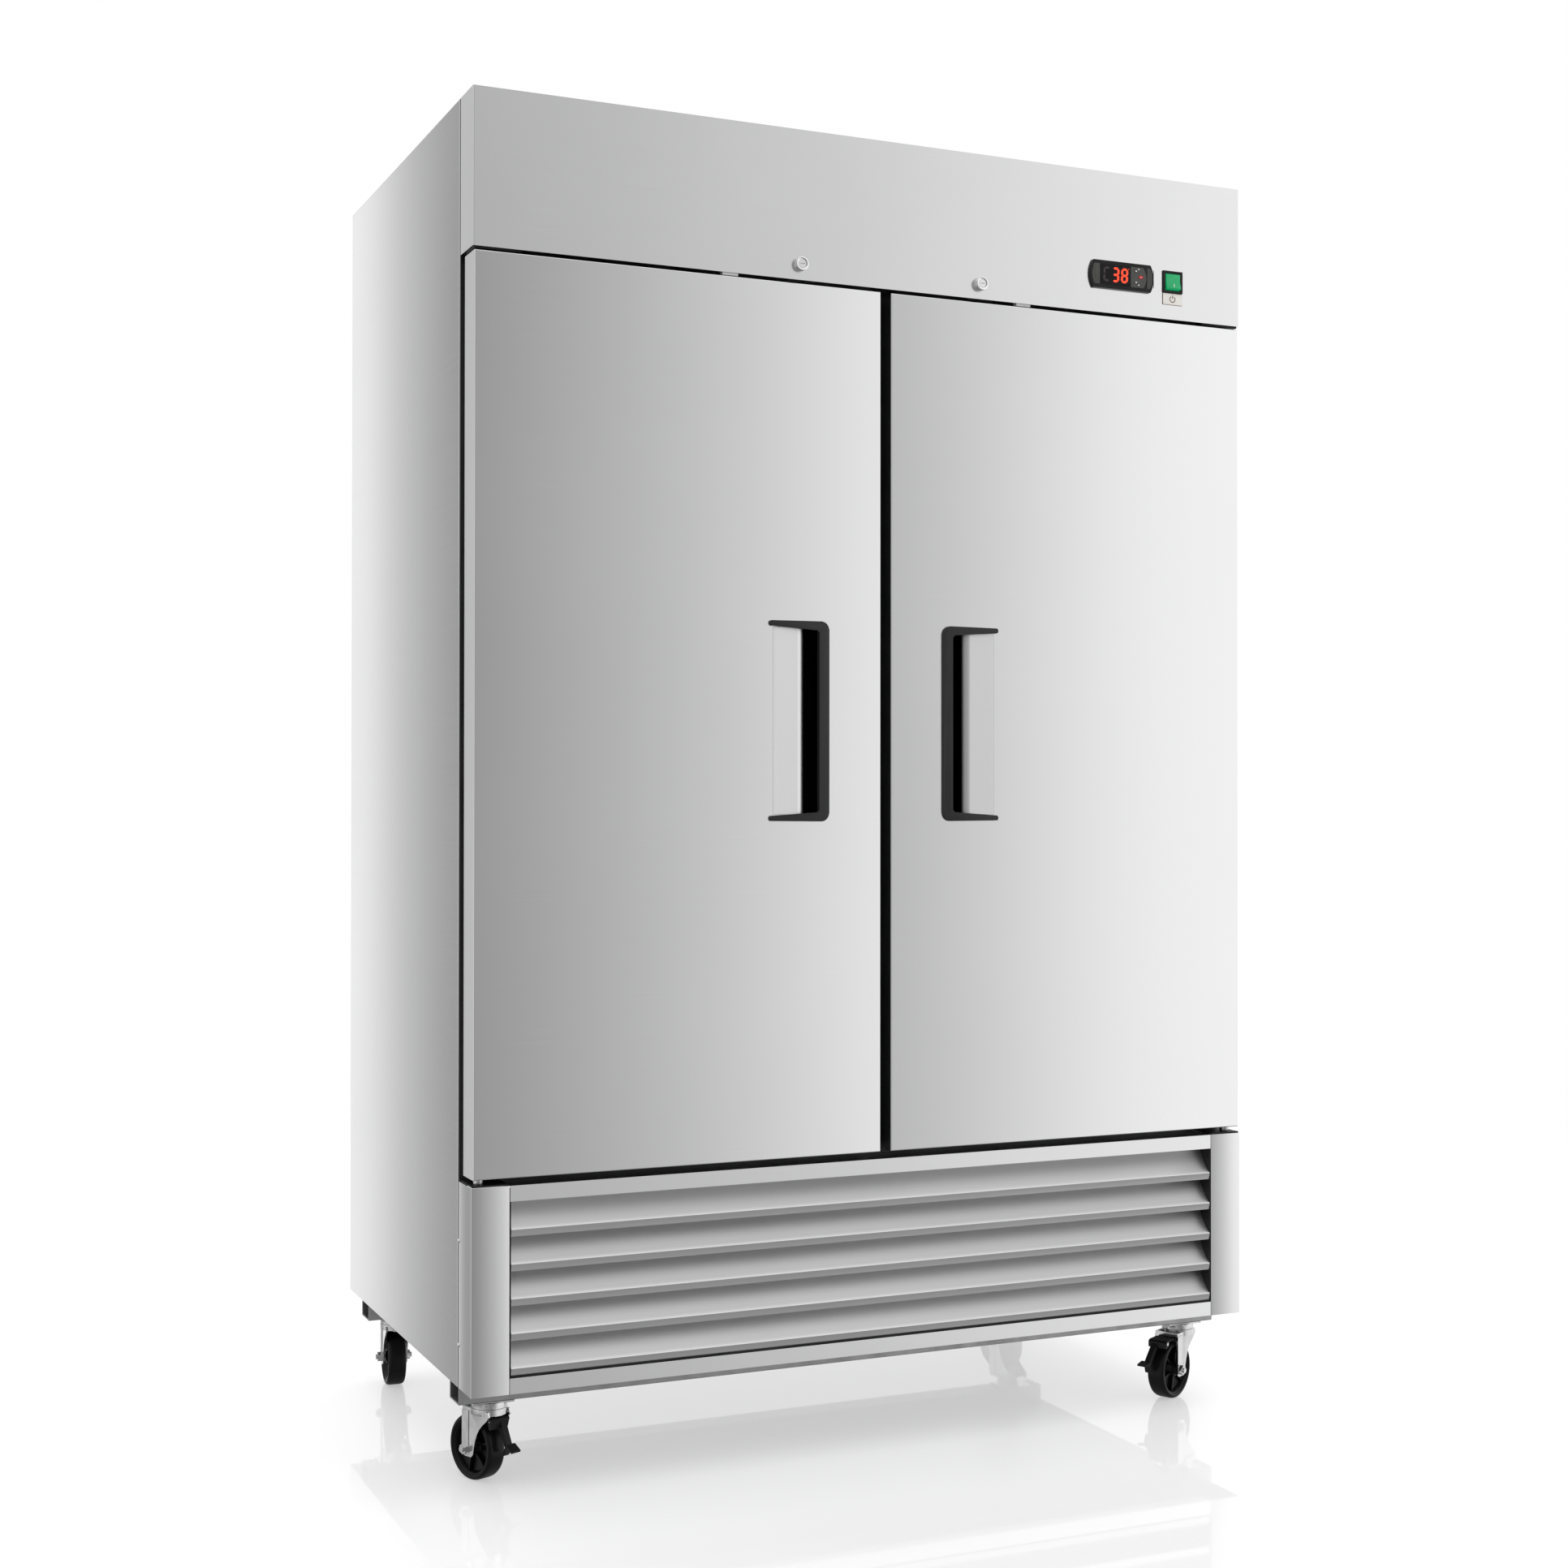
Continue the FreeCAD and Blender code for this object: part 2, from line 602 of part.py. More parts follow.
# ---------------------------------------------------------------- refrigeration
EVAPORATOR_FANS = {"evaporator_fan_left": -200.0, "evaporator_fan_right": 200.0}
EVAPORATOR_LEVEL = CAVITY_TOP - 104.0
EVAPORATOR_FRONT = CAVITY_BACK - 232.0


def evaporator_cover():
    """Ceiling-hung housing with two fan openings, each behind a wire guard."""
    low = (-420.0, EVAPORATOR_FRONT, CAVITY_TOP - 208.0)
    hollow = block((-418.8, EVAPORATOR_FRONT + 1.2, low[2] + 1.2),
                   (418.8, CAVITY_BACK + 5.0, CAVITY_TOP + 5.0))
    fan_holes = [rod((x, EVAPORATOR_FRONT - 5.0, EVAPORATOR_LEVEL), 90.0, 12.0, "y")
                 for x in EVAPORATOR_FANS.values()]
    air_slots = [block((-380.0 + 64.0 * number, EVAPORATOR_FRONT + 40.0, low[2] - 5.0),
                       (-332.0 + 64.0 * number, CAVITY_BACK - 60.0, low[2] + 5.0))
                 for number in range(12)]
    shell = cut(block(low, (420.0, CAVITY_BACK, CAVITY_TOP)), [hollow] + fan_holes + air_slots)
    guards = []
    for x in EVAPORATOR_FANS.values():
        centre = (x, EVAPORATOR_FRONT - 6.0, EVAPORATOR_LEVEL)
        wires = [ring(centre, radius, 1.6, "y") for radius in (30.0, 60.0, 96.0)]
        wires.append(rod((x - 99.0, EVAPORATOR_FRONT - 4.0, EVAPORATOR_LEVEL), 1.8, 198.0, "x"))
        wires.append(rod((x, EVAPORATOR_FRONT - 4.0, EVAPORATOR_LEVEL - 99.0), 1.8, 198.0, "z"))
        for dx, dz in ((-96.0, 0.0), (96.0, 0.0), (0.0, -96.0), (0.0, 96.0)):
            wires.append(rod((x + dx, EVAPORATOR_FRONT - 7.0, EVAPORATOR_LEVEL + dz), 2.5, 7.0, "y"))
        guards.append(fused(wires))
    return node("evaporator_cover", group([shell] + guards))


def finned_coil(low, high, fins, tubes):
    """Thin fins on tubes that run the length of the coil."""
    x0, y0, z0 = low
    x1, y1, z1 = high
    pitch = (x1 - x0) / (fins - 1)
    pieces = [block((x0 + pitch * number - 0.4, y0, z0), (x0 + pitch * number + 0.4, y1, z1))
              for number in range(fins)]
    rise = (z1 - z0) / tubes
    middle = (y0 + y1) * 0.5
    pieces += [rod((x0 - 8.0, middle, z0 + rise * (number + 0.5)), 4.8, x1 - x0 + 16.0, "x")
               for number in range(tubes)]
    return fused(pieces)


def evaporator_coil():
    coil = finned_coil((-385.0, CAVITY_BACK - 95.0, CAVITY_TOP - 180.0),
                       (385.0, CAVITY_BACK - 15.0, CAVITY_TOP - 30.0), 36, 4)
    return node("evaporator_coil", coil)


CONDENSER_FAN = (-340.0, BODY + 125.0, BASE + 157.0)


def condenser_coil():
    """Coil behind the grille, and the plate with the round hole that its fan draws through."""
    x, y, z = CONDENSER_FAN
    coil = finned_coil((x - 210.0, BODY + 12.0, BASE + 25.0),
                       (x + 210.0, BODY + 62.0, BASE + 285.0), 30, 6)
    plate = cut(block((x - 220.0, y - 12.0, BASE + 1.5), (x + 220.0, y - 10.5, BASE + 300.0)),
                [rod((x, y - 20.0, z), 130.0, 20.0, "y")])
    return node("condenser_coil", group([coil, plate]))


def fan(label, centre, radius, hub, width):
    """A hub with five pitched blades, turning about the Y axis."""
    x, y, z = centre
    bore = rod((x, y - 1.0, z), 3.0 + d.running_gap, width + 2.0, "y")
    pieces = [rod((x, y, z), hub, width, "y")]
    chord = radius * 0.55
    for number in range(5):
        spin = Rotation(Vector(0, 1, 0), 72.0 * number)
        pitch = Rotation(Vector(1, 0, 0), 28.0)
        turn = spin.multiply(pitch)
        start = turn.multVec(Vector(hub * 0.6, -0.8, -chord / 2))
        corner = (x + start.x, y + width / 2 + start.y, z + start.z)
        pieces.append(slab((radius - hub * 0.6, 1.6, chord), corner, turn))
    limit = rod((x, y - 30.0, z), radius, 80.0, "y")
    return node(label, cut(common([fused(pieces), limit]), [bore]))


def fans():
    for label, x in EVAPORATOR_FANS.items():
        fan(label, (x, EVAPORATOR_FRONT + 22.0, EVAPORATOR_LEVEL), 84.0, 22.0, 24.0)
    fan("condenser_fan", CONDENSER_FAN, 124.0, 30.0, 30.0)


def motor(centre, radius, length, foot_level):
    """A round motor on a bracket leg, with the shaft that its fan turns on."""
    x, y, z = centre
    low, high = sorted((z, foot_level))
    return fused([rod(centre, radius, length, "y"), rod((x, y - 34.0, z), 3.0, 40.0, "y"),
                  block((x - 18.0, y + length - 12.0, low), (x + 18.0, y + length - 8.0, high))])


def fan_motors():
    motors = [motor((x, EVAPORATOR_FRONT + 60.0, EVAPORATOR_LEVEL), 34.0, 52.0, CAVITY_TOP)
              for x in EVAPORATOR_FANS.values()]
    x, y, z = CONDENSER_FAN
    motors.append(motor((x, y + 40.0, z), 42.0, 70.0, BASE + 1.5))
    return node("fan_motors", group(motors))


def compressor():
    """Hermetic compressor: a domed can on rubber-mounted feet."""
    x, y, low = 330.0, 60.0, BASE + 1.5
    can = rod((x, y, low + 34.0), 84.0, 150.0, "z")
    dome = common([ball((x, y, low + 150.0), 92.0), rod((x, y, low + 184.0), 84.0, 100.0, "z")])
    plate = block((x - 105.0, y - 80.0, low + 20.0), (x + 105.0, y + 80.0, low + 24.0))
    neck = rod((x, y, low + 22.0), 60.0, 20.0, "z")
    feet = [rod((x + dx, y + dy, low), 12.0, 21.0, "z")
            for dx in (-92.0, 92.0) for dy in (-66.0, 66.0)]
    terminal = block((x + 70.0, y - 34.0, low + 90.0), (x + 108.0, y + 34.0, low + 150.0))
    return node("compressor", fused([can, dome, plate, neck, terminal] + feet))


def tube_run(points, radius):
    """A tube through the given corners, with a round joint at each."""
    pieces = []
    for start, end in zip(points, points[1:]):
        axis = next(index for index in range(3) if start[index].number != end[index].number)
        first = min(start, end, key=lambda point: point[axis].number)
        length = as_size(abs(end[axis].number - start[axis].number))
        pieces.append(rod(first, radius, length, "xyz"[axis]))
    pieces += [ball(point, radius) for point in points[1:-1]]
    return fused(pieces)


def refrigerant_tubes():
    """Discharge, liquid and suction lines in the machine space."""
    low = BASE.number
    front = BODY.number
    discharge = [(330.0, 10.0, low + 262.0), (330.0, -60.0, low + 262.0), (-100.0, -60.0, low + 262.0),
                 (-100.0, front + 37.0, low + 262.0), (-121.0, front + 37.0, low + 262.0)]
    liquid = [(-121.0, front + 37.0, low + 46.0), (-90.0, front + 37.0, low + 46.0),
              (-90.0, 150.0, low + 46.0), (120.0, 150.0, low + 46.0)]
    suction = [(330.0, 110.0, low + 262.0), (330.0, 240.0, low + 262.0), (480.0, 240.0, low + 262.0)]
    runs = [tube_run([tuple(as_size(value) for value in point) for point in points], radius)
            for points, radius in ((discharge, 4.0), (liquid, 3.2), (suction, 5.0))]
    drier = rod((120.3, 150.0, low + 46.0), 14.0, 110.0, "x")
    return node("refrigerant_tubes", group(runs + [drier]))


def electrical_box():
    """Terminal box, and the appliance inlet that shows in the back panel."""
    box = block((520.0, 60.0, BASE + 1.5), (660.0, 200.0, BASE + 130.0))
    body = block((576.3, BACK - 34.0, BASE + 70.3), (603.7, BACK - 0.5, BASE + 91.7))
    slots = [block((583.0 + 5.5 * number, BACK - 16.0, BASE + 78.0),
                   (585.5 + 5.5 * number, BACK, BASE + 84.0)) for number in range(3)]
    return node("electrical_box", group([box, cut(body, slots)]))


def cabinet_lamps():
    """Lamp bars behind the brow, one above each opening."""
    y = FOAM_FRONT + d.wall + d.sheet
    lamp = fused([block((-560.0, y, OPENING_TOP + 30.0), (-120.0, y + 16.0, OPENING_TOP + 52.0)),
                  rod((-560.0, y + 16.0, OPENING_TOP + 41.0), 11.0, 440.0, "x")])
    return node("cabinet_lamps", group([lamp, mirrored(lamp)]))


# ---------------------------------------------------------------- controls and locks
BUTTONS = {  # node: place across and up from the controller's middle, half width, half height
    "button_up": (27.4, 11.0, 4.0, 2.6),
    "button_set": (37.2, 1.0, 4.4, 2.6),
    "button_down": (27.4, -9.0, 4.0, 2.6),
}


ROCKER_TILT = 8.0  # degrees, each half of the rocker's shallow V


def stadium(x, z, half_width, half_height, start, end):
    """A flat key with round ends, lying along X."""
    reach = half_width - half_height
    length = end - start
    middle = block((x - reach, start, z - half_height), (x + reach, end, z + half_height))
    ends = [rod((x + side * reach, start, z), half_height, length, "y") for side in (-1, 1)]
    return fused([middle] + ends)


def temperature_controller():
    """Bezel with bowed ends, and the case that passes through the header."""
    x, z = d.panel_middle, d.panel_level
    face, half_height = FRONT - d.panel_stand, d.panel_height / 2
    bow = d.panel_bow.number
    radius = (half_height.number ** 2 + bow ** 2) / (2 * bow)
    pieces = [block((x - d.panel_half, face, z - half_height),
                    (x + d.panel_half, FRONT, z + half_height))]
    for side in (-1, 1):
        edge = x + side * d.panel_half
        disc = rod((edge + side * (d.panel_bow - radius), face, z), radius, d.panel_stand, "y")
        window = block((edge, face, z - half_height),
                       (edge + side * d.panel_bow, FRONT, z + half_height))
        pieces.append(common([disc, window]))
    pieces.append(block((x - 35.2, FRONT, z - 14.2), (x + 35.2, BODY - 6.0, z + 14.2)))
    gap = d.running_gap
    sockets = [stadium(x + across, z + up, gap + wide, gap + tall, face - 1.0, FRONT - 0.6)
               for across, up, wide, tall in BUTTONS.values()]
    node("temperature_controller", cut(fused(pieces), sockets))
    for label, (across, up, wide, tall) in BUTTONS.items():
        node(label, stadium(x + across, z + up, wide, tall, face - 0.4, FRONT - 2.0))


def power_switch():
    """Square bezel with a rocker that tilts about a crosswise axis, its upper half pressed in."""
    x, z = d.switch_middle, d.panel_level
    face = FRONT - 2.5
    outer, inner = d.switch_bezel / 2, d.rocker_size / 2 + 0.5
    rim = block((x - outer, face, z - outer + 1.0), (x + outer, FRONT, z + outer - 1.0))
    sleeve = block((x - inner - 1.5, FRONT, z - inner - 1.5),
                   (x + inner + 1.5, FRONT + 24.0, z + inner + 1.5))
    hole = block((x - inner, face - 5.0, z - inner), (x + inner, FRONT + 20.0, z + inner))
    node("power_switch_bezel", cut(fused([rim, sleeve]), [hole]))
    half = d.rocker_size / 2
    drum = rod((x - half, FRONT + 2.0, z), half, d.rocker_size, "x")
    trims = []
    for side in (-1, 1):
        turn = Rotation(Vector(1, 0, 0), side * ROCKER_TILT - ROCKER_TILT)
        low = turn.multVec(Vector(0, -30.0, 0 if side > 0 else -30.0))
        trims.append(slab((d.rocker_size + 2.0, 30.0, 30.0),
                          (x - half - 1.0, FRONT - 3.5 + low.y, z + low.z), turn))
    node("power_rocker", cut(drum, trims))


def locks():
    """Cam locks in the header: fixed bodies, and plugs whose cams swing down into the doors."""
    bodies = []
    face = FRONT - d.lock_stand
    back = FRONT + 22.0
    for label, x in (("lock_plug_left", -d.lock_left), ("lock_plug_right", d.lock_right)):
        start = (x, face, d.lock_level)
        fit = d.plug_radius + d.running_gap
        bore = rod((x, face - 1.0, d.lock_level), fit, back - face + 2.0, "y")
        body = fused([rod(start, d.lock_ring, d.lock_stand, "y"),
                      rod((x, FRONT, d.lock_level), d.lock_barrel, back - FRONT, "y"),
                      hexagon((x, FRONT + 3.0, d.lock_level), 14.0, 5.0, "y")])
        bodies.append(cut(body, [bore]))
        plug = rod((x, face + 0.6, d.lock_level), d.plug_radius, back + 6.0 - face, "y")
        cam = block((x, FRONT + 26.0, d.lock_level - d.cam_width / 2),
                    (x + d.cam_reach - 2.0, FRONT + 29.0, d.lock_level + d.cam_width / 2))
        keyway = block((x - 4.2, face - 1.0, d.lock_level - 0.9),
                       (x + 4.2, face + 5.0, d.lock_level + 0.9))
        node(label, cut(fused([plug, cam]), [keyway]))
    return node("lock_bodies", group(bodies))


def door_sensors():
    """Small switches under the header that feel when each door is shut."""
    sensors = [block((x0, FRONT + 0.6, HEADER_BOTTOM - 4.5), (x1, FRONT + 13.0, HEADER_BOTTOM))
               for x0, x1 in ((-287.0, -260.0), (244.0, 271.0))]
    return node("door_sensors", group(sensors))


# ---------------------------------------------------------------- doors
def door_hinges():
    """Black plates under the header and on the corner posts, each with a pin and a plain bush."""
    x, y = -d.hinge_axis, FRONT + d.hinge_inset
    top_under, low_over = HEADER_BOTTOM - 3.0, BASE_TOP + 2.5
    top_plate = block((-SIDE + 3.0, FRONT + 2.0, top_under),
                      (-SIDE + 75.0, FRONT + 48.0, HEADER_BOTTOM))
    low_plate = block((-SIDE + 1.5, FRONT + 1.5, BASE_TOP), (-SIDE + 58.0, BODY - 1.0, low_over))
    plates = group([top_plate, low_plate])
    node("hinge_plates", group([plates, mirrored(plates)]))
    top_pin = rod((x, y, DOOR_TOP - d.pin_depth), d.pin_radius, top_under - DOOR_TOP + d.pin_depth, "z")
    top_bush = rod((x, y, DOOR_TOP + 0.3), 7.0, top_under - DOOR_TOP - 0.3, "z")
    low_pin = rod((x, y, low_over), d.pin_radius, DOOR_BOTTOM - low_over + d.pin_depth, "z")
    low_bush = rod((x, y, low_over), 8.0, DOOR_BOTTOM - low_over - 0.3, "z")
    pair = group([fused([top_pin, top_bush]), fused([low_pin, low_bush])])
    return node("hinge_pins", group([pair, mirrored(pair)]))


def scoop(side, grow):
    """The finger scoop's volume: a nearly flush ramp that turns down into a well behind the bar."""
    low = d.handle_low + 12.0 - grow
    high = d.handle_low + d.handle_height - 12.0 + grow
    slope = math.radians(d.pocket_slope.number)
    start_x = d.pocket_turn - d.pocket_radius * math.sin(slope)
    sink = (d.pocket_edge - start_x) * math.tan(slope) + d.pocket_radius * math.cos(slope)
    radius = d.pocket_radius - grow
    bend_x, bend_y = d.pocket_turn - radius * math.sin(slope), sink - radius * math.cos(slope)
    far = d.pocket_edge + 11.0
    ramp_out = bend_y - (far - bend_x) * math.tan(slope)
    deep = FRONT + d.pocket_depth + grow
    outline = [(bend_x, bend_y), (far, ramp_out), (far, sink + 1.0), (d.pocket_turn, sink + 1.0)]
    ramp = padded("XY_Plane", [(side * x, FRONT + y) for x, y in outline], high - low + 2.0,
                  (0, 0, low - 1.0))
    bend = rod((side * d.pocket_turn, FRONT + sink, low - 1.0), radius, high - low + 2.0, "z")
    wall = block((side * (d.pocket_turn - radius), FRONT + sink, low - 1.0),
                 (side * far, deep + 1.0, high + 1.0))
    window = block((side * d.handle_inner, FRONT, low), (side * (d.pocket_edge + grow), deep, high))
    tuck = block((side * d.handle_inner, FRONT + 8.0, low),
                 (side * (d.handle_outer + 2.5 - grow), deep, high))
    return fused([cut(window, [fused([ramp, bend, wall])]), tuck])


def door_parts(name, side, lock):
    """One door: outer skin, foam core with its inner sheet, gasket, finger pocket and handle."""
    outer, inner = side * d.door_outer, side * d.door_inner
    pin_x, pin_y = side * d.hinge_axis, FRONT + d.hinge_inset
    bore = d.pin_radius + d.running_gap
    top_bore = rod((pin_x, pin_y, DOOR_TOP - d.pin_depth - 1.0), bore, d.pin_depth + 6.0, "z")
    low_bore = rod((pin_x, pin_y, DOOR_BOTTOM - 5.0), bore, d.pin_depth + 6.0, "z")
    slot = cam_slot(lock, DOOR_TOP - d.notch_depth, DOOR_TOP + 5.0)
    wide = sorted((outer, inner))
    face = [(wide[0], FRONT), (wide[1], FRONT), (wide[1], DOOR_BACK), (wide[0], DOOR_BACK)]
    shell = padded("XY_Plane", face, d.door_height, (0, 0, DOOR_BOTTOM))
    front = d.front_face.number
    rounded(shell, d.corner_round, lambda box: box.YMax < -front + 0.5)
    hollow = block((wide[0] + d.sheet, FRONT + d.sheet, DOOR_BOTTOM + d.sheet),
                   (wide[1] - d.sheet, DOOR_BACK + 5.0, DOOR_TOP - d.sheet))
    low = d.handle_low + 10.8
    high = d.handle_low + d.handle_height - 10.8
    pocket_out, pocket_in = side * (d.pocket_edge + 1.2), side * (d.handle_outer + 1.3)
    window = block((pocket_out, FRONT - 5.0, low), (pocket_in, FRONT + 5.0, high))
    node(f"door_{name}_skin", cut(shell, [hollow, window, top_bore, low_bore, slot]))

    core = block((wide[0] + d.sheet, FRONT + d.sheet, DOOR_BOTTOM + d.sheet),
                 (wide[1] - d.sheet, DOOR_BACK, DOOR_TOP - d.sheet))
    recess = block((pocket_out, FRONT - 5.0, low), (pocket_in, FRONT + d.pocket_depth + 1.2, high))
    node(f"door_{name}_core", cut(core, [recess, top_bore, low_bore, slot]))

    rim_x = sorted((side * (d.door_outer - d.gasket_inset),
                    side * (d.door_inner + d.gasket_inset - 6.0)))
    rim_z = (DOOR_BOTTOM + d.gasket_inset, DOOR_TOP - d.gasket_inset)
    near, far = DOOR_BACK, BODY - 0.3
    gasket = d.gasket_width
    strips = [block((rim_x[0], near, rim_z[0]), (rim_x[0] + gasket, far, rim_z[1])),
              block((rim_x[1] - gasket, near, rim_z[0]), (rim_x[1], far, rim_z[1])),
              block((rim_x[0] + gasket, near, rim_z[0]), (rim_x[1] - gasket, far, rim_z[0] + gasket)),
              block((rim_x[0] + gasket, near, rim_z[1] - gasket), (rim_x[1] - gasket, far, rim_z[1]))]
    node(f"door_{name}_gasket", group(strips))
    node(f"door_{name}_pocket", cut(scoop(side, 1.0), [scoop(side, 0.0)]))
    node(f"door_{name}_handle", handle(side))


def handle(side):
    """A flat C-shaped frame with tapering arms, and the deeper grip bar behind it."""
    low, high = d.handle_low, d.handle_low + d.handle_height
    tip, bar, grip = side * d.handle_tips, side * d.handle_outer, side * d.handle_inner
    bevel = 13.0 * side
    outline = [(tip, high - 1.0), (bar + bevel, high), (bar + bevel * 0.3, high - 4.5), (bar, high - 13.0),
               (bar, low + 13.0), (bar + bevel * 0.3, low + 4.5), (bar + bevel, low), (tip, low + 1.0),
               (tip, low + 9.0), (grip + 4.0 * side, low + 13.0), (grip, low + 17.0),
               (grip, high - 17.0), (grip + 4.0 * side, high - 13.0), (tip, high - 9.0)]
    frame = padded("XZ_Plane", outline, d.handle_stand, (0, FRONT, 0))
    stand = d.handle_stand.number
    rounded(frame, 1.6, lambda box: box.YMax < 0.5 - stand)
    bar_back = block((grip, FRONT - 1.0, low + 13.0),
                     (side * (d.handle_outer + 2.6), FRONT + 6.5, high - 13.0))
    return fused([frame, bar_back])


# ---------------------------------------------------------------- small fixings
def panel_screws():
    """Domed screws in the side returns of the corner posts, close to the seam."""
    screws = []
    for level in (BASE + 66.0, BASE + 224.0):
        dome = ball((-SIDE + 0.9, BODY - 1.6, level), 3.4)
        window = block((-SIDE - 3.0, BODY - 7.0, level - 5.0), (-SIDE, BODY + 4.0, level + 5.0))
        screws.append(common([dome, window]))
    left = group(screws)
    return node("panel_screws", group([left, mirrored(left)]))


# ---------------------------------------------------------------- casters
def caster_plates():
    """Plates welded under the rails, each with its fixed race and kingpin."""
    plates = []
    under = BASE - d.rail_height
    for _, side, end, _, _ in CASTERS:
        x, y, _ = caster_place(side, end)
        plate = block((x - 33.0, y - 25.0, under - 3.0), (x + 33.0, y + 25.0, under))
        race = rod((x, y, under - 12.0), d.race_radius, 10.0, "z")
        pin = rod((x, y, under - 27.0), 6.0, 18.0, "z")
        head = rod((x, y, under - 28.0), 9.0, 2.6, "z")
        plates.append(fused([plate, race, pin, head]))
    return node("caster_plates", group(plates))


def caster_place(side, end):
    return (side * d.caster_x, -d.caster_front if end == "front" else d.caster_rear, 0)


def at_heading(piece, side, end, heading):
    """Turn a piece made about the swivel axis, and stand it at its corner of the cabinet."""
    return locate(piece, caster_place(side, end), Rotation(Vector(0, 0, 1), heading))


def brake_pin(brake):
    """The brake pin's place along the fork, and its level."""
    reach = d.brake_behind if brake > 0 else d.brake_ahead
    return d.caster_trail + brake * reach, BASE - d.rail_height - d.brake_drop


def fork_leg(start):
    """A leg with an upright rear edge, a hollow front edge and a rounded foot."""
    under = BASE - d.rail_height
    y, z = d.caster_trail, d.wheel_radius
    outline = [(-24.0, under - 15.0), (y + 9.0, under - 15.0), (y + 9.0, z - 7.0), (y + 6.5, z - 10.5),
               (y + 2.0, z - 12.0), (y - 11.0, z - 12.0), (y - 15.0, z - 10.0), (y - 17.5, z - 6.0),
               (y - 19.5, z + 4.0), (y - 22.5, z + 15.0), (y - 27.0, z + 26.0), (y - 33.0, z + 35.0),
               (y - 41.0, z + 43.0), (y - 50.0, z + 50.0), (y - 56.0, z + 57.0)]
    return padded("YZ_Plane", outline, d.leg_sheet, (start, 0, 0))


def caster_fork(brake):
    """Cap, bridge, two legs ribbed along the rear edge, axle bolt with nuts, and the brake's pin."""
    under = BASE - d.rail_height
    y, z = d.caster_trail, d.wheel_radius
    inside, outside = d.leg_space, d.leg_space + d.leg_sheet
    cap = cut(rod((0, 0, under - 22.0), d.race_radius, 9.7, "z"),
              [rod((0, 0, under - 30.0), d.running_gap + 6.0, 30.0, "z")])
    bridge = cut(block((-outside, -22.0, under - 22.0), (outside, y + 9.0, under - 18.0)),
                 [rod((0, 0, under - 30.0), 10.0, 30.0, "z")])
    crossbar = block((-outside, y + 6.0, under - 27.0), (outside, y + 9.0, under - 15.0))
    pieces = [cap, bridge, crossbar, fork_leg(inside), fork_leg(-outside)]
    for side in (-1, 1):
        face = side * outside
        rib = block((face, y - 7.0, z - 7.0), (face + side * 1.2, y + 9.0, under - 20.0))
        nut = hexagon((min(face, face + side * 7.0), y, z), 8.4, 7.0, "x")
        end = rod((min(face, face + side * 10.0), y, z), 4.6, 10.0, "x")
        pieces += [rib, nut, end]
    pieces.append(rod((-outside, y, z), d.axle_radius, outside * 2, "x"))
    if brake:
        pin_y, pin_z = brake_pin(brake)
        pieces.append(rod((-17.0, pin_y, pin_z), 3.0, 34.0, "x"))
        pieces.append(block((-7.0, pin_y - 3.5, pin_z - 4.0), (7.0, pin_y + 2.5, pin_z + 3.6)))
        if brake > 0:
            pieces.append(block((-7.0, y + 7.0, under - 27.0), (7.0, pin_y, under - 25.4)))
        else:
            pieces.append(block((-7.0, pin_y - 3.5, pin_z), (7.0, pin_y + 4.0, under - 20.0)))
    return fused(pieces)


def caster_wheel():
    """Wheel with a rounded tread, a recessed web and a wide hub, about the X axis."""
    half, radius = d.wheel_half, d.wheel_radius
    bore = d.axle_radius + d.running_gap
    side = [(half - 0.5, bore), (half - 0.5, 12.0), (4.5, 15.0), (3.5, 37.0), (half - 3.0, 41.0),
            (half, 43.0), (half, radius - 4.5), (half - 1.6, radius - 1.3), (half - 5.0, radius)]
    outline = side + [(-along, out) for along, out in reversed(side)]
    return turned(outline, (0, d.caster_trail, radius))


def caster_brake(brake):
    """Hood over the brake pin, with a narrow arm down to a two-toed foot pedal."""
    pin_y, pin_z = brake_pin(brake)
    turn = Rotation(Vector(1, 0, 0), LEVER_TURN[brake])

    def plate(outline, start, width):
        """A plate across the caster, its outline outwards and upwards from the brake pin."""
        piece = padded("YZ_Plane", [(brake * out, up) for out, up in outline], width)
        return locate(piece, (start, pin_y, pin_z), turn)

    skirt = -7.0 if brake > 0 else -12.0
    cheek = [(-4.6, -4.0), (-4.6, 4.4), (5.0, 4.8), (7.5, 2.5), (7.5, skirt), (5.0, skirt), (0.0, -4.8)]
    hood = [(5.0, 4.8), (7.5, 2.5), (7.5, skirt), (5.0, skirt)]
    arm = [(5.0, 0.0), (7.5, 0.0), (32.0, -27.0), (34.5, -31.0), (30.5, -47.0), (26.5, -47.0),
           (28.5, -34.0), (5.0, -10.0)]
    pedal = [(29.0, -29.0), (32.0, -27.4), (47.5, -30.6), (47.5, -33.6), (32.0, -32.0)]
    pieces = [plate(cheek, 14.5, 3.0), plate(cheek, -17.5, 3.0), plate(hood, -17.5, 35.0),
              plate(arm, 1.0, 10.0), plate(pedal, -1.0, 18.0)]
    if brake > 0:
        roof = [(-22.0, 4.6), (-22.0, 6.4), (3.5, 5.6), (7.5, 2.5), (5.0, 2.5), (3.0, 4.0)]
        pieces.append(plate(roof, -17.5, 35.0))
    pieces += [rod((start, pin_y, pin_z), 4.8, 9.5, "x") for start in (-17.0, 7.5)]
    bore = rod((-20.0, pin_y, pin_z), d.running_gap + 3.0, 40.0, "x")
    return cut(fused(pieces), [bore])


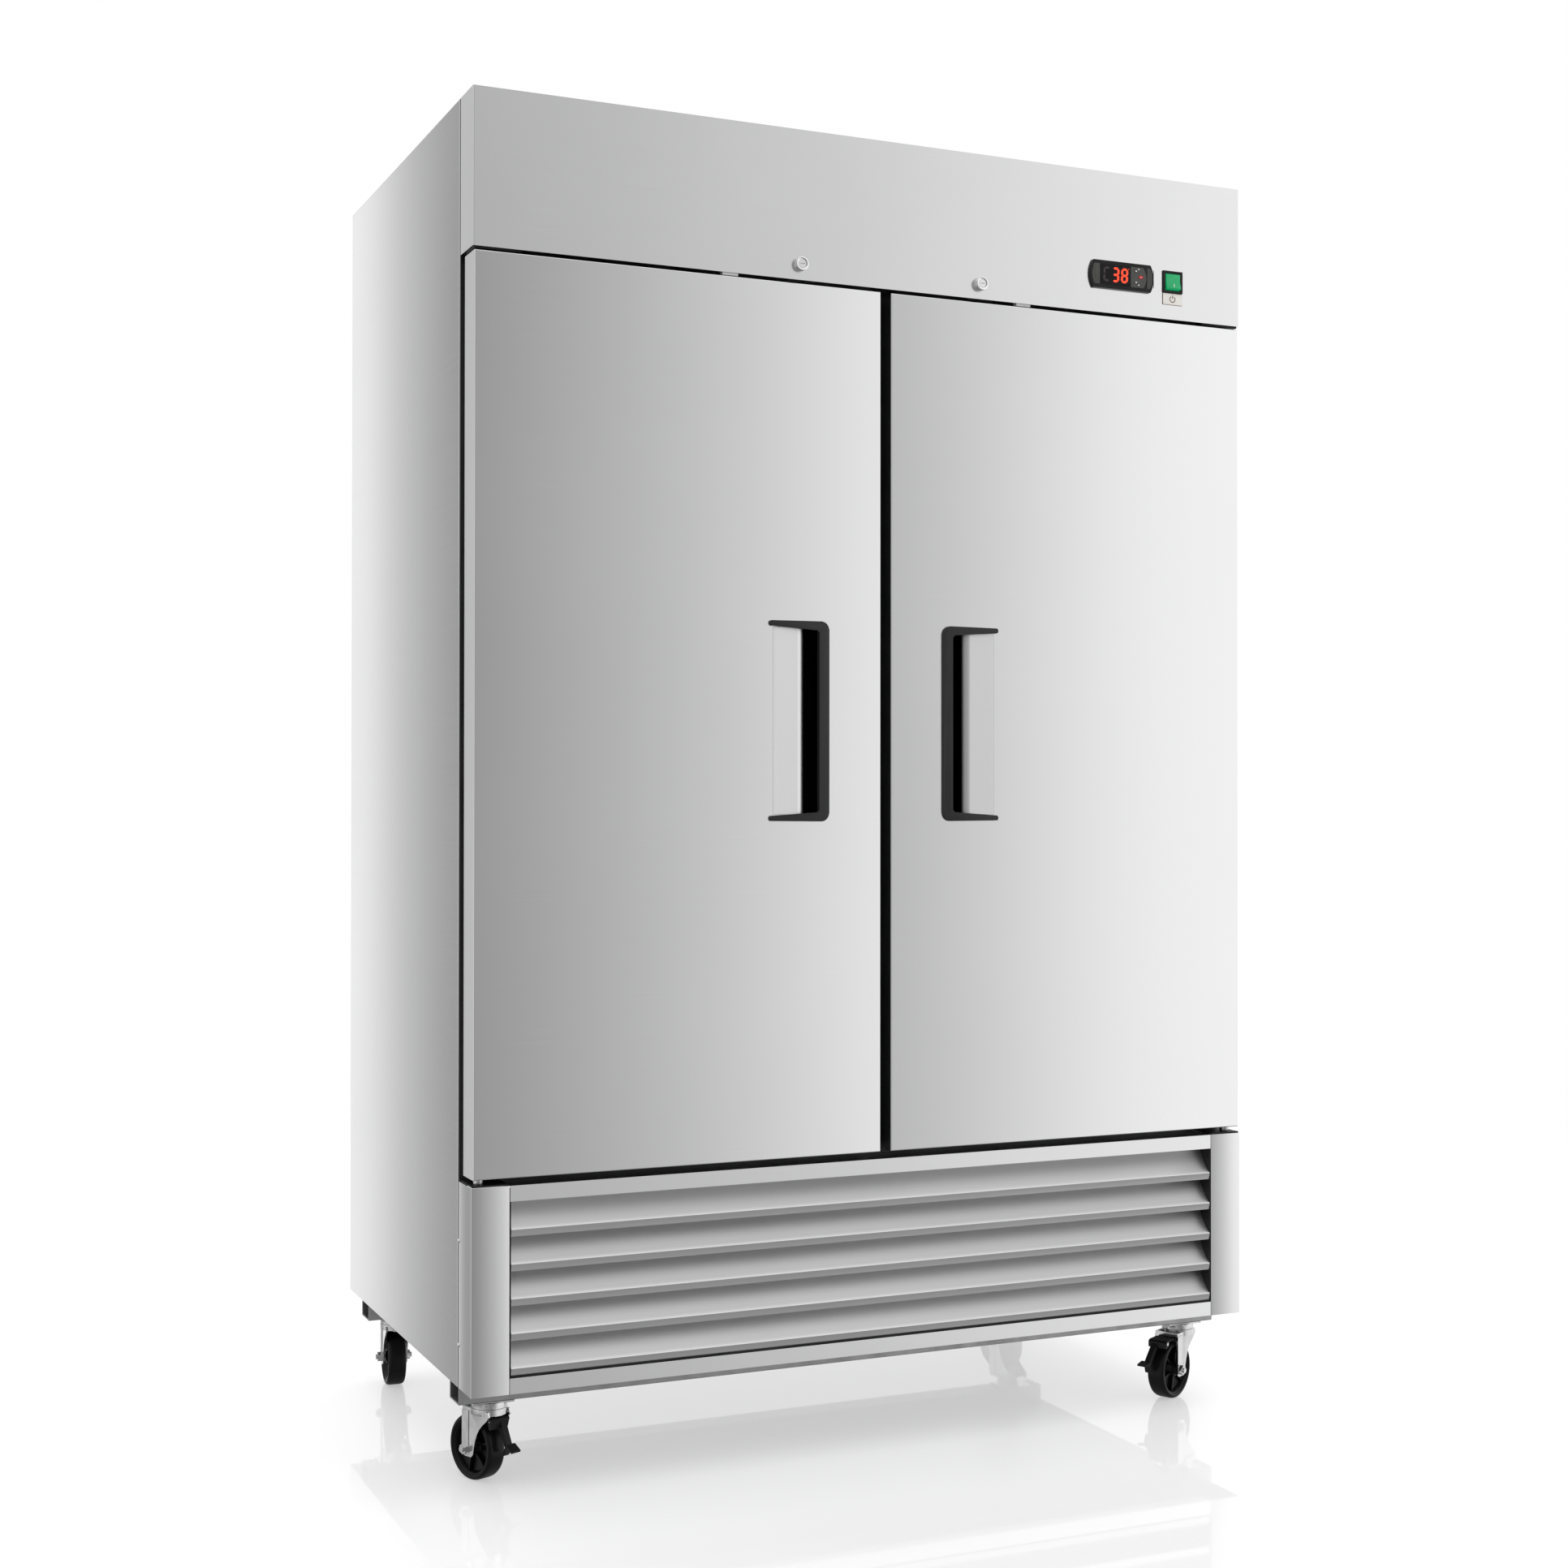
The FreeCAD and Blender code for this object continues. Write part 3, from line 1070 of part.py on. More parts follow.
def casters():
    caster_plates()
    for ending, side, end, heading, brake in CASTERS:
        node(f"caster_fork_{ending}", at_heading(caster_fork(brake), side, end, heading))
        wheel = at_heading(group([caster_wheel()]), side, end, heading)
        node(f"caster_wheel_{ending}", wheel)
        if brake:
            node(f"caster_brake_{ending}", at_heading(caster_brake(brake), side, end, heading))


# ---------------------------------------------------------------- the whole refrigerator
def build():
    for make in (side_panels, back_panel, top_panel, base_pans, header_panel, corner_posts, grille_frame,
                 grille_cheeks, grille_blades, base_rails, interior_liner, foam_insulation, door_frame,
                 shelf_supports, wire_shelves, evaporator_cover, evaporator_coil, condenser_coil, fans,
                 fan_motors, compressor, refrigerant_tubes, electrical_box, cabinet_lamps,
                 temperature_controller, power_switch, locks, door_sensors, door_hinges, panel_screws,
                 casters):
        make()
    door_parts("left", -1, -d.lock_left)
    door_parts("right", 1, d.lock_right)
    doc.recompute()


def check():
    """Stop at any feature that failed, or any sub-part without sound solids."""
    for item in doc.Objects:
        if "Invalid" in item.State or "Error" in item.State:
            raise RuntimeError(f"{item.Label} ({item.Name}) failed: {item.State}")
    for label, piece in nodes.items():
        if piece.Shape.isNull() or not piece.Shape.isValid() or not piece.Shape.Solids:
            raise RuntimeError(f"{label} has no valid solid")


def export():
    os.makedirs("parts", exist_ok=True)
    for label, piece in nodes.items():
        piece.Shape.exportStep(f"parts/{label}.step")
        print(f"{label}: {len(piece.Shape.Solids)} solids, {piece.Shape.Volume / 1000:.1f} cm3")
    print(len(nodes), "nodes")


build()
check()
export()
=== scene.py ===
"""Looks of the two-door reach-in refrigerator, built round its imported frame.

Metres, row frame: +X to the viewer's right, +Y to the back, +Z up. CAD nodes whose shape is right keep it
and get a finish; the rest are replaced by finer meshes that ride on the same bodies.
"""
import json
import math

import bmesh
import bpy
from mathutils import Matrix, Vector

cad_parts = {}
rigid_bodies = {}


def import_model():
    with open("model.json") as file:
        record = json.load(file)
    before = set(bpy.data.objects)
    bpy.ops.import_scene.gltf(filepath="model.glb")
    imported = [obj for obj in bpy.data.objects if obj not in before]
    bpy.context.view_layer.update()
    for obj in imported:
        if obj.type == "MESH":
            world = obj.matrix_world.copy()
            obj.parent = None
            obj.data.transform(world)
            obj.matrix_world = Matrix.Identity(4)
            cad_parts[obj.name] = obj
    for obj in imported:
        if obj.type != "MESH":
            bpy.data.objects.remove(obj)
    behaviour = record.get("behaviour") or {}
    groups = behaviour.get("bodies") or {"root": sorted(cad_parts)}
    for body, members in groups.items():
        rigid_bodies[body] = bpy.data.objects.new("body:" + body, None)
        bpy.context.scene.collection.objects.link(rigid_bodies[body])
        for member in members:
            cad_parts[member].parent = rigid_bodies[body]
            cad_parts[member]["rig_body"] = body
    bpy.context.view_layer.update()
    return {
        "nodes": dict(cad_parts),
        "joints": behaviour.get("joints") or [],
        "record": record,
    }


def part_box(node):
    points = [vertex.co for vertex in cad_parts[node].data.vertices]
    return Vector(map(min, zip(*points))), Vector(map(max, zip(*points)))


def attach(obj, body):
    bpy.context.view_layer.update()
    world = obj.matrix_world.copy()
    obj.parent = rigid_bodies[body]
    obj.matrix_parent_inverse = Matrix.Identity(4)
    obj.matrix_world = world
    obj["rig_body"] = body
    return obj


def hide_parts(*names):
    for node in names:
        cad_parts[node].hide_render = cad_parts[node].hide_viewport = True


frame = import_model()

MM = 0.001
SHARP_ANGLE = 35.0  # degrees: an edge that turns more than this stays a crease
CORNERS = ("front_left", "front_right", "rear_left", "rear_right")
SCENE = bpy.context.scene


# ---------------------------------------------------------------- finishes
class Finish:
    """A procedural material, with short calls for the nodes that the finishes share."""

    def __init__(self, name, **sockets):
        self.material = bpy.data.materials.new(name)
        self.material.use_nodes = True
        self.tree = self.material.node_tree
        self.tree.nodes.clear()
        output = self.tree.nodes.new("ShaderNodeOutputMaterial")
        self.shader = self.tree.nodes.new("ShaderNodeBsdfPrincipled")
        self.tree.links.new(self.shader.outputs[0], output.inputs[0])
        for socket, value in sockets.items():
            self.shader.inputs[socket.replace("_", " ")].default_value = value

    def node(self, kind, **settings):
        """A new shader node with its settings."""
        made = self.tree.nodes.new("ShaderNode" + kind)
        for key, value in settings.items():
            setattr(made, key, value)
        return made

    def feed(self, socket, source):
        """Link a socket to another, or give it a plain value."""
        if hasattr(source, "is_linked"):
            self.tree.links.new(source, socket)
        else:
            socket.default_value = source

    def into(self, name, source):
        """Feed one of the surface shader's own inputs."""
        self.feed(self.shader.inputs[name], source)

    def place(self, scale=(1.0, 1.0, 1.0)):
        """Object coordinates, which are the row frame at rest, scaled."""
        mapping = self.node("Mapping")
        self.feed(mapping.inputs["Vector"], self.node("TexCoord").outputs["Object"])
        mapping.inputs["Scale"].default_value = scale
        return mapping.outputs[0]

    def noise(self, where, scale, detail=3.0):
        """Soft noise from 0 to 1."""
        made = self.node("TexNoise")
        self.feed(made.inputs["Vector"], where)
        made.inputs["Scale"].default_value = scale
        made.inputs["Detail"].default_value = detail
        return made.outputs["Fac"]

    def cells(self, where, scale):
        """One random colour per crystal."""
        made = self.node("TexVoronoi")
        self.feed(made.inputs["Vector"], where)
        made.inputs["Scale"].default_value = scale
        return made.outputs["Color"]

    def maths(self, operation, first, second=0.0):
        """One sum on two values."""
        made = self.node("Math", operation=operation)
        self.feed(made.inputs[0], first)
        self.feed(made.inputs[1], second)
        return made.outputs[0]

    def axis(self, letter):
        """The X, Y or Z coordinate in the row frame at rest."""
        made = self.node("SeparateXYZ")
        self.feed(made.inputs[0], self.node("TexCoord").outputs["Object"])
        return made.outputs["XYZ".index(letter)]

    def spread(self, value, low, high, start=0.3, end=0.7):
        """A value between start and end, stretched to run from low to high."""
        made = self.node("MapRange")
        self.feed(made.inputs["Value"], value)
        for name, number in (("From Min", start), ("From Max", end), ("To Min", low), ("To Max", high)):
            made.inputs[name].default_value = number
        return made.outputs[0]

    def shade(self, value, stops):
        """A colour ramp from (position, colour) stops."""
        made = self.node("ValToRGB")
        self.feed(made.inputs[0], value)
        elements = made.color_ramp.elements
        while len(elements) < len(stops):
            elements.new(0.5)
        for element, (position, colour) in zip(elements, stops):
            element.position = position
            element.color = (*colour, 1.0)
        return made.outputs["Color"]

    def bump(self, height, distance=1.0):
        """Relief whose height is in metres when distance is 1."""
        made = self.node("Bump")
        self.feed(made.inputs["Height"], height)
        made.inputs["Distance"].default_value = distance
        self.into("Normal", made.outputs[0])


def tone(colour, factor):
    """A colour made darker or paler."""
    return tuple(channel * factor for channel in colour)


GRAIN = {"X": (6.0, 1400.0, 1400.0), "Y": (1400.0, 6.0, 1400.0), "Z": (1400.0, 1400.0, 6.0)}


def brushed(name, colour, roughness, grain, crowns=(), relief=1.2e-6, contrast=0.05):
    """Brushed sheet. Each crown is a faint bow: (letter, shift, middle, half width, edge slope in degrees).

    Along X the bow repeats on both sides of the shift; along Y it stands once, at the middle.
    """
    finish = Finish(name, Metallic=1.0)
    lines = finish.noise(finish.place(GRAIN[grain]), 1.0, 4.0)
    clouds = finish.noise(finish.place(), 2.6, 2.0)
    both = finish.maths("ADD", finish.maths("MULTIPLY", lines, 0.6), finish.maths("MULTIPLY", clouds, 0.4))
    finish.into("Base Color", finish.shade(both, [(0.3, tone(colour, 1.0 - contrast)), (0.7, colour)]))
    finish.into("Roughness", finish.spread(both, roughness - 0.03, roughness + 0.03))
    height = finish.maths("MULTIPLY", lines, relief)
    for letter, shift, middle, half, slope in crowns:
        along = finish.maths("SUBTRACT", finish.axis(letter), shift)
        if letter == "X":
            along = finish.maths("ABSOLUTE", along)
        away = finish.maths("SUBTRACT", along, middle)
        square = finish.maths("MULTIPLY", away, away)
        bow = finish.maths("MULTIPLY", square, -math.tan(math.radians(slope)) / (2.0 * half))
        height = finish.maths("ADD", height, bow)
    finish.bump(height)
    return finish.material


def scooped(name, colour, start, end):
    """Brushed finger pocket, polished on its ramp, with painted shade that turns it black down in its well.
    """
    finish = Finish(name, Metallic=1.0)
    lines = finish.noise(finish.place(GRAIN["Z"]), 1.0, 4.0)
    depth = finish.spread(finish.axis("Y"), 0.0, 0.9, start, end)
    well_shade_and_grain = finish.maths("ADD", depth, finish.maths("MULTIPLY", lines, 0.1))
    # painted shade: the colour runs from bright steel on the ramp to black down the well, standing in for its
    # shadow
    finish.into("Base Color", finish.shade(well_shade_and_grain, [(0.08, colour), (0.95, (0.006, 0.006, 0.006))]))
    finish.into("Roughness", finish.spread(lines, 0.40, 0.46))
    finish.bump(lines, 1.2e-6)
    return finish.material


def metal(name, colour, roughness, scale=60.0, contrast=0.12, relief=2e-5):
    """Plated or cast metal: soft blotches in colour and gloss."""
    finish = Finish(name, Metallic=1.0)
    blotch = finish.noise(finish.place(), scale, 5.0)
    finish.into("Base Color", finish.shade(blotch, [(0.3, tone(colour, 1.0 - contrast)), (0.68, colour)]))
    finish.into("Roughness", finish.spread(blotch, roughness + 0.06, max(roughness - 0.05, 0.03)))
    finish.bump(finish.noise(finish.place(), scale * 8.0, 3.0), relief)
    return finish.material


def spangled(name, colour):
    """Hot-dip galvanised sheet with its crystal pattern."""
    finish = Finish(name, Metallic=1.0)
    warped = finish.cells(finish.place(), 190.0)
    level = finish.node("RGBToBW")
    finish.feed(level.inputs[0], warped)
    finish.into("Base Color", finish.shade(level.outputs[0], [(0.15, tone(colour, 0.93)), (0.85, colour)]))
    finish.into("Roughness", finish.spread(level.outputs[0], 0.40, 0.47, 0.0, 1.0))
    finish.bump(finish.noise(finish.place(), 260.0, 3.0), 1.5e-5)
    return finish.material


def moulded(name, colour, roughness, grain=900.0, relief=4e-5, coat=0.0, dust=0.12, gloss=0.5):
    """Moulded plastic, rubber or paint: fine texture, slightly paler where it is worn or dusty."""
    finish = Finish(name, Coat_Weight=coat, Coat_Roughness=0.12, Specular_IOR_Level=gloss)
    fine = finish.noise(finish.place(), grain, 2.0)
    wear = finish.noise(finish.place(), 14.0, 4.0)
    pale = tuple(channel + (0.5 - channel) * dust * 0.2 for channel in colour)
    finish.into("Base Color", finish.shade(wear, [(0.35, colour), (0.75, pale)]))
    finish.into("Roughness", finish.spread(wear, roughness - 0.05, roughness + 0.08))
    finish.bump(fine, relief)
    return finish.material


def glowing(name, colour, strength, base, roughness, grain=500.0):
    """A lit plastic part with a slightly uneven glow."""
    finish = Finish(name, Emission_Strength=strength, Roughness=roughness)
    cloud = finish.noise(finish.place(), grain, 2.0)
    finish.into("Base Color", finish.shade(cloud, [(0.3, base), (0.7, tone(base, 1.15))]))
    finish.into("Emission Color", finish.shade(cloud, [(0.3, tone(colour, 0.82)), (0.7, colour)]))
    return finish.material


def foamed(name, colour):
    """Foam with fine open pores."""
    finish = Finish(name, Roughness=0.9)
    pores = finish.noise(finish.place(), 700.0, 4.0)
    finish.into("Base Color", finish.shade(pores, [(0.3, tone(colour, 0.75)), (0.7, colour)]))
    finish.bump(pores, 4e-4)
    return finish.material


def smoky_glass(name):
    """The dark display window, faintly smoky."""
    finish = Finish(name, Specular_IOR_Level=0.12)
    smoke = finish.noise(finish.place(), 90.0, 2.0)
    stops = [(0.3, (0.006, 0.006, 0.007)), (0.8, (0.014, 0.013, 0.015))]
    finish.into("Base Color", finish.shade(smoke, stops))
    finish.into("Roughness", finish.spread(smoke, 0.06, 0.14))
    return finish.material


def ribbed(name, colour):
    """Dark metallised plastic with fine upright lines."""
    finish = Finish(name, Metallic=0.85)
    lines = finish.noise(finish.place((2600.0, 60.0, 60.0)), 1.0, 3.0)
    finish.into("Base Color", finish.shade(lines, [(0.3, tone(colour, 0.55)), (0.7, colour)]))
    finish.into("Roughness", finish.spread(lines, 0.24, 0.42))
    finish.bump(lines, 3e-5)
    return finish.material


DOOR_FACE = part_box("door_left_skin")[0].y
POCKET_RAMP, POCKET_WELL = DOOR_FACE + 2.0 * MM, DOOR_FACE + 9.0 * MM  # where the painted shade of the well begins and where it is full black
# The faint bows of the sheets: letter, shift, middle, half width, edge slope in degrees.
DOOR_CROWN = [("X", 0.0, 0.3487, 0.34, 3.4)]
RETURN_BOW = ("Y", 0.0, -0.338, 0.06, 5.0)
POST_CROWN = [("X", 0.0135, 0.6745, 0.03, 4.5), RETURN_BOW]
SIDE_CROWN = [("Y", 0.0, 0.04, 0.37, 3.6)]
STEEL = (0.80, 0.80, 0.805)
FINISHES = {
    "outer_steel": brushed("stainless_across", STEEL, 0.2, "X"),
    "pocket_steel": scooped("stainless_pocket", (0.82, 0.82, 0.82), POCKET_RAMP, POCKET_WELL),
    "galvanised_steel": spangled("galvanised", (0.62, 0.63, 0.64)),
    "rail_paint": metal("rail_steel", (0.42, 0.42, 0.42), 0.4, 40.0),
    # black_metal also colours the hinge plates black: painted shade that keeps the gaps round the doors dark
    "black_metal": moulded("black_paint_and_gap_shade", (0.006, 0.006, 0.006), 0.5, 800.0, 3e-5, gloss=0.25),
    "liner_aluminium": brushed("liner_aluminium", (0.86, 0.87, 0.88), 0.34, "Z", relief=2e-6),
    "foam": foamed("insulating_foam", (0.78, 0.68, 0.42)),
    "door_core": moulded("door_inner_sheet", (0.62, 0.63, 0.64), 0.35, 400.0, 3e-5),
    "black_strip": moulded("black_breaker", (0.010, 0.010, 0.011), 0.35, 900.0),
    "gasket_rubber": moulded("gasket_vinyl", (0.011, 0.011, 0.012), 0.55, 1400.0, 3e-5, dust=0.25),
    "shelf_coating": moulded("shelf_coating", (0.66, 0.67, 0.68), 0.32, 500.0, 6e-5, coat=0.3),
    "white_cover": moulded("white_cover", (0.74, 0.75, 0.76), 0.34, 900.0, 4e-5),
    "coil_aluminium": metal("coil_aluminium", (0.78, 0.79, 0.80), 0.3, 120.0),
    "fan_plastic": moulded("fan_plastic", (0.05, 0.05, 0.055), 0.42, 1100.0),
    "motor_metal": metal("motor_metal", (0.30, 0.31, 0.33), 0.42, 80.0),
    "copper": metal("copper_tube", (0.78, 0.40, 0.26), 0.26, 70.0, 0.3),
    "box_metal": metal("box_zinc", (0.58, 0.59, 0.60), 0.4, 50.0),
    "lamp_cover": glowing("lamp_cover", (0.93, 0.96, 1.0), 0.35, (0.82, 0.84, 0.86), 0.4, 60.0),
    "controller_black": moulded("controller_black", (0.007, 0.007, 0.008), 0.3, 1500.0, 1e-5, gloss=0.2),
    "key_grey": moulded("key_grey", (0.05, 0.05, 0.05), 0.4, 1200.0, 2e-5, gloss=0.3),
    "key_red": moulded("key_red", (0.55, 0.010, 0.012), 0.3, 1200.0, 2e-5, gloss=0.3),
    "switch_black": moulded("switch_black", (0.006, 0.006, 0.006), 0.3, 1500.0, 1e-5, gloss=0.2),
    "switch_green": glowing("switch_green", (0.005, 0.50, 0.16), 0.42, (0.0, 0.17, 0.06), 0.2, 320.0),
    "lock_chrome": metal("lock_chrome", (0.86, 0.86, 0.86), 0.12, 220.0, 0.06, 4e-6),
    "sensor_plastic": moulded("sensor_plastic", (0.50, 0.50, 0.50), 0.38, 1200.0),
    "hinge_steel": metal("hinge_steel", (0.60, 0.60, 0.61), 0.24, 120.0),
    "screw_steel": metal("screw_steel", (0.82, 0.82, 0.82), 0.14, 500.0, 0.08, 4e-6),
    "caster_zinc": metal("caster_zinc", (0.66, 0.66, 0.66), 0.16, 60.0, 0.12, 3e-6),
    "wheel_black": moulded("wheel_black", (0.003, 0.003, 0.003), 0.36, 500.0, 3e-5, dust=0.02, gloss=0.2),
    "handle_black": moulded("handle_black", (0.015, 0.015, 0.0155), 0.45, 1600.0, 3e-5,
                            dust=0.05, gloss=0.35),
}
DOOR_STEEL = brushed("stainless_door", STEEL, 0.2, "X", DOOR_CROWN)
POST_STEEL = brushed("stainless_post", STEEL, 0.2, "Z", POST_CROWN)
SIDE_STEEL = brushed("stainless_side", STEEL, 0.18, "Y", SIDE_CROWN)
BLADE_STEEL = brushed("stainless_blade", STEEL, 0.4, "X")
DIGIT_RED = glowing("digit_red", (1.0, 0.055, 0.012), 1.5, (0.25, 0.01, 0.005), 0.3)
DIGIT_OFF = moulded("digit_unlit", (0.022, 0.010, 0.010), 0.3, 1500.0, 1e-5)
GLASS = smoky_glass("display_window")
RIBBED = ribbed("ribbed_metal", (0.11, 0.11, 0.105))
MARK_WHITE = moulded("printed_white", (0.80, 0.80, 0.80), 0.45, 1500.0, 1e-5)
MARK_BROWN = moulded("printed_brown", (0.14, 0.085, 0.05), 0.5, 1500.0, 1e-5, gloss=0.2)
LABEL_CREAM = moulded("label_cream", (0.86, 0.83, 0.78), 0.4, 1300.0, 1e-5)

SLOTS = {part["node"]: part["material_slot"] for part in frame["record"]["subparts"]}
BOWED_STEEL = {"door_left_skin": DOOR_STEEL, "door_right_skin": DOOR_STEEL, "side_panels": SIDE_STEEL,
               "corner_posts": POST_STEEL}


# ---------------------------------------------------------------- mesh building
def skinned(bm, loops, caps=True):
    """Faces through rings of equally many points, with both ends closed."""
    rings = [[bm.verts.new(point) for point in loop] for loop in loops]
    for near, far in zip(rings, rings[1:]):
        for index in range(len(near)):
            following = (index + 1) % len(near)
            bm.faces.new((near[index], near[following], far[following], far[index]))
    if caps:
        bm.faces.new(rings[0][::-1])
        bm.faces.new(rings[-1])
    return rings


def disc(x, z, radius, count=48):
    """A circle as a flat outline."""
    angles = [2.0 * math.pi * index / count for index in range(count)]
    return [(x + radius * math.cos(angle), z + radius * math.sin(angle)) for angle in angles]


def turned(bm, profile, count):
    """A part turned about the X axis: (distance along, radius) pairs."""
    skinned(bm, [[(along, y, z) for y, z in disc(0.0, 0.0, radius, count)] for along, radius in profile])


def cornered(points, radii, steps=6):
    """A flat outline with an arc at each corner."""
    outline = []
    count = len(points)
    for index, (corner, radius) in enumerate(zip(points, radii)):
        here = Vector(corner)
        before = (Vector(points[index - 1]) - here).normalized()
        after = (Vector(points[(index + 1) % count]) - here).normalized()
        half = before.angle(after) / 2.0
        reach = radius / math.tan(half)
        middle = here + (before + after).normalized() * (radius / math.sin(half))
        start, end = here + before * reach - middle, here + after * reach - middle
        turn = start.angle_signed(end)
        for step in range(steps + 1):
            arm = start.copy()
            arm.rotate(Matrix.Rotation(-turn * step / steps, 2))
            outline.append(middle + arm)
    return outline


def upright(outline, y):
    """A flat (x, z) outline stood up at a depth."""
    return [(point[0], y, point[1]) for point in outline]


def plate(bm, outline, front, back, bevel=0.0, segments=3):
    """A flat shape facing the front, with rounded front edges."""
    rings = skinned(bm, [upright(outline, back), upright(outline, front)])
    if bevel:
        rim = rings[-1]
        edges = [bm.edges.get((rim[index - 1], rim[index])) for index in range(len(rim))]
        bmesh.ops.bevel(bm, geom=edges, offset=bevel, segments=segments, profile=0.5, affect="EDGES",
                        clamp_overlap=True)


def box_part(bm, low, high, bevel=0.0):
    """A block with rounded edges."""
    corners = [(low[0], low[1]), (high[0], low[1]), (high[0], high[1]), (low[0], high[1])]
    rings = skinned(bm, [[(x, y, z) for x, y in corners] for z in (low[2], high[2])])
    if bevel:
        verts = [vert for ring in rings for vert in ring]
        edges = list({edge for vert in verts for edge in vert.link_edges})
        bmesh.ops.bevel(bm, geom=edges, offset=bevel, segments=2, profile=0.5, affect="EDGES",
                        clamp_overlap=True)


def oblong(x, z, half_width, half_height, radius):
    """A rectangle with round corners, as an (x, z) outline."""
    points = [(x - half_width, z - half_height), (x + half_width, z - half_height),
              (x + half_width, z + half_height), (x - half_width, z + half_height)]
    return cornered(points, [radius] * 4)


def finished(name, bm, body, slot, material=None, replaces=(), sharp=SHARP_ANGLE):
    """Turn a bmesh into a piece that rides on its body."""
    bmesh.ops.recalc_face_normals(bm, faces=bm.faces)
    mesh = bpy.data.meshes.new(name)
    bm.to_mesh(mesh)
    bm.free()
    mesh.shade_smooth()
    mesh.set_sharp_from_angle(angle=math.radians(sharp))
    piece = bpy.data.objects.new(name, mesh)
    SCENE.collection.objects.link(piece)
    mesh.materials.append(material or FINISHES[slot])
    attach(piece, body)
    if replaces:
        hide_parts(*replaces)
    return piece


def softened(node, width, segments=2):
    """A copy of a CAD node with its sharp edges rounded by a width in mm, standing in for it."""
    original = frame["nodes"][node]
    bm = bmesh.new()
    bm.from_mesh(original.data)
    bmesh.ops.remove_doubles(bm, verts=bm.verts, dist=2e-6)
    bmesh.ops.dissolve_limit(bm, angle_limit=math.radians(0.6), verts=bm.verts, edges=bm.edges)
    piece = finished(node + "_formed", bm, original["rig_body"], SLOTS[node], BOWED_STEEL.get(node), (node,))
    bevel = piece.modifiers.new("edges", "BEVEL")
    bevel.width = width * MM
    bevel.segments = segments
    bevel.limit_method = "ANGLE"
    bevel.angle_limit = math.radians(SHARP_ANGLE)
    bevel.harden_normals = True


# ---------------------------------------------------------------- CAD nodes and louvres
EDGE_WIDTHS = {  # how far the sharp edges of these CAD nodes are rounded, in mm
    "corner_posts": 0.3, "grille_frame": 0.3, "base_rails": 1.2, "caster_plates": 0.5, "hinge_plates": 0.5,
    "hinge_pins": 0.5, "door_sensors": 0.8, "power_switch_bezel": 0.8, "evaporator_cover": 0.4,
    "cabinet_lamps": 0.6, "electrical_box": 0.8, "compressor": 1.2,
    **{f"caster_fork_{corner}": 0.7 for corner in CORNERS},
    "caster_brake_front_left": 0.7, "caster_brake_front_right": 0.7, "temperature_controller": 0.9}


def dress_nodes():
    """Give every CAD node its finish, and round the edges that show."""
    for name, piece in frame["nodes"].items():
        piece.data.materials.clear()
        piece.data.materials.append(BOWED_STEEL.get(name) or FINISHES[SLOTS[name]])
    for name, width in EDGE_WIDTHS.items():
        softened(name, width)


BLADE_COUNT = 5
BLADE_PITCH = 52.2 * MM
BLADE_RADIUS = 95.0 * MM
BLADE_LIP = 11.0 * MM
BLADE_SHEET = 1.0 * MM
BLADE_START, BLADE_SWEEP, BLADE_STEPS = 38.0, 34.0, 18  # the hollow curve, in degrees and steps
LIP_TURN = 2.6 * MM  # how far each lip's lower edge is tucked back


def blades():
    """Louvres: a lip turned slightly under, a small bend, and a hollow curve up and back."""
    low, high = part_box("grille_blades")
    front = [(LIP_TURN, -BLADE_LIP), (0.35 * MM, -1.2 * MM), (0.0, -0.4 * MM), (0.45 * MM, 0.1 * MM)]
    start = math.radians(BLADE_START)
    for step in range(1, BLADE_STEPS + 1):
        angle = math.radians(BLADE_START + BLADE_SWEEP * step / BLADE_STEPS)
        front.append((BLADE_RADIUS * (math.sin(angle) - math.sin(start)),
                      BLADE_RADIUS * (math.cos(start) - math.cos(angle))))
    back = [(along + BLADE_SHEET, up - 0.2 * MM) for along, up in front]
    outline = front + back[::-1]
    bm = bmesh.new()
    for number in range(BLADE_COUNT):
        base = low.z + BLADE_LIP + BLADE_PITCH * number
        skinned(bm, [[(x, low.y + along, base + up) for along, up in outline] for x in (low.x, high.x)])
    finished("grille_blades_rolled", bm, "cabinet", "outer_steel", BLADE_STEEL, ("grille_blades",), 20.0)


# ---------------------------------------------------------------- doors
GRIP_WIDTH = 17.5 * MM
GRIP_END = 13.0 * MM  # how far the grip bar stops short of the frame's top and bottom
GRIP_INSET = 2.6 * MM
FRAME_THICKNESS = 5.0 * MM
ARM_TIP, ARM_ROOT = 9.0 * MM, 15.0 * MM  # height of each arm of the frame, at its tip and at the grip
TIP_RADIUS, CORNER_RADIUS = 2.2 * MM, 13.0 * MM


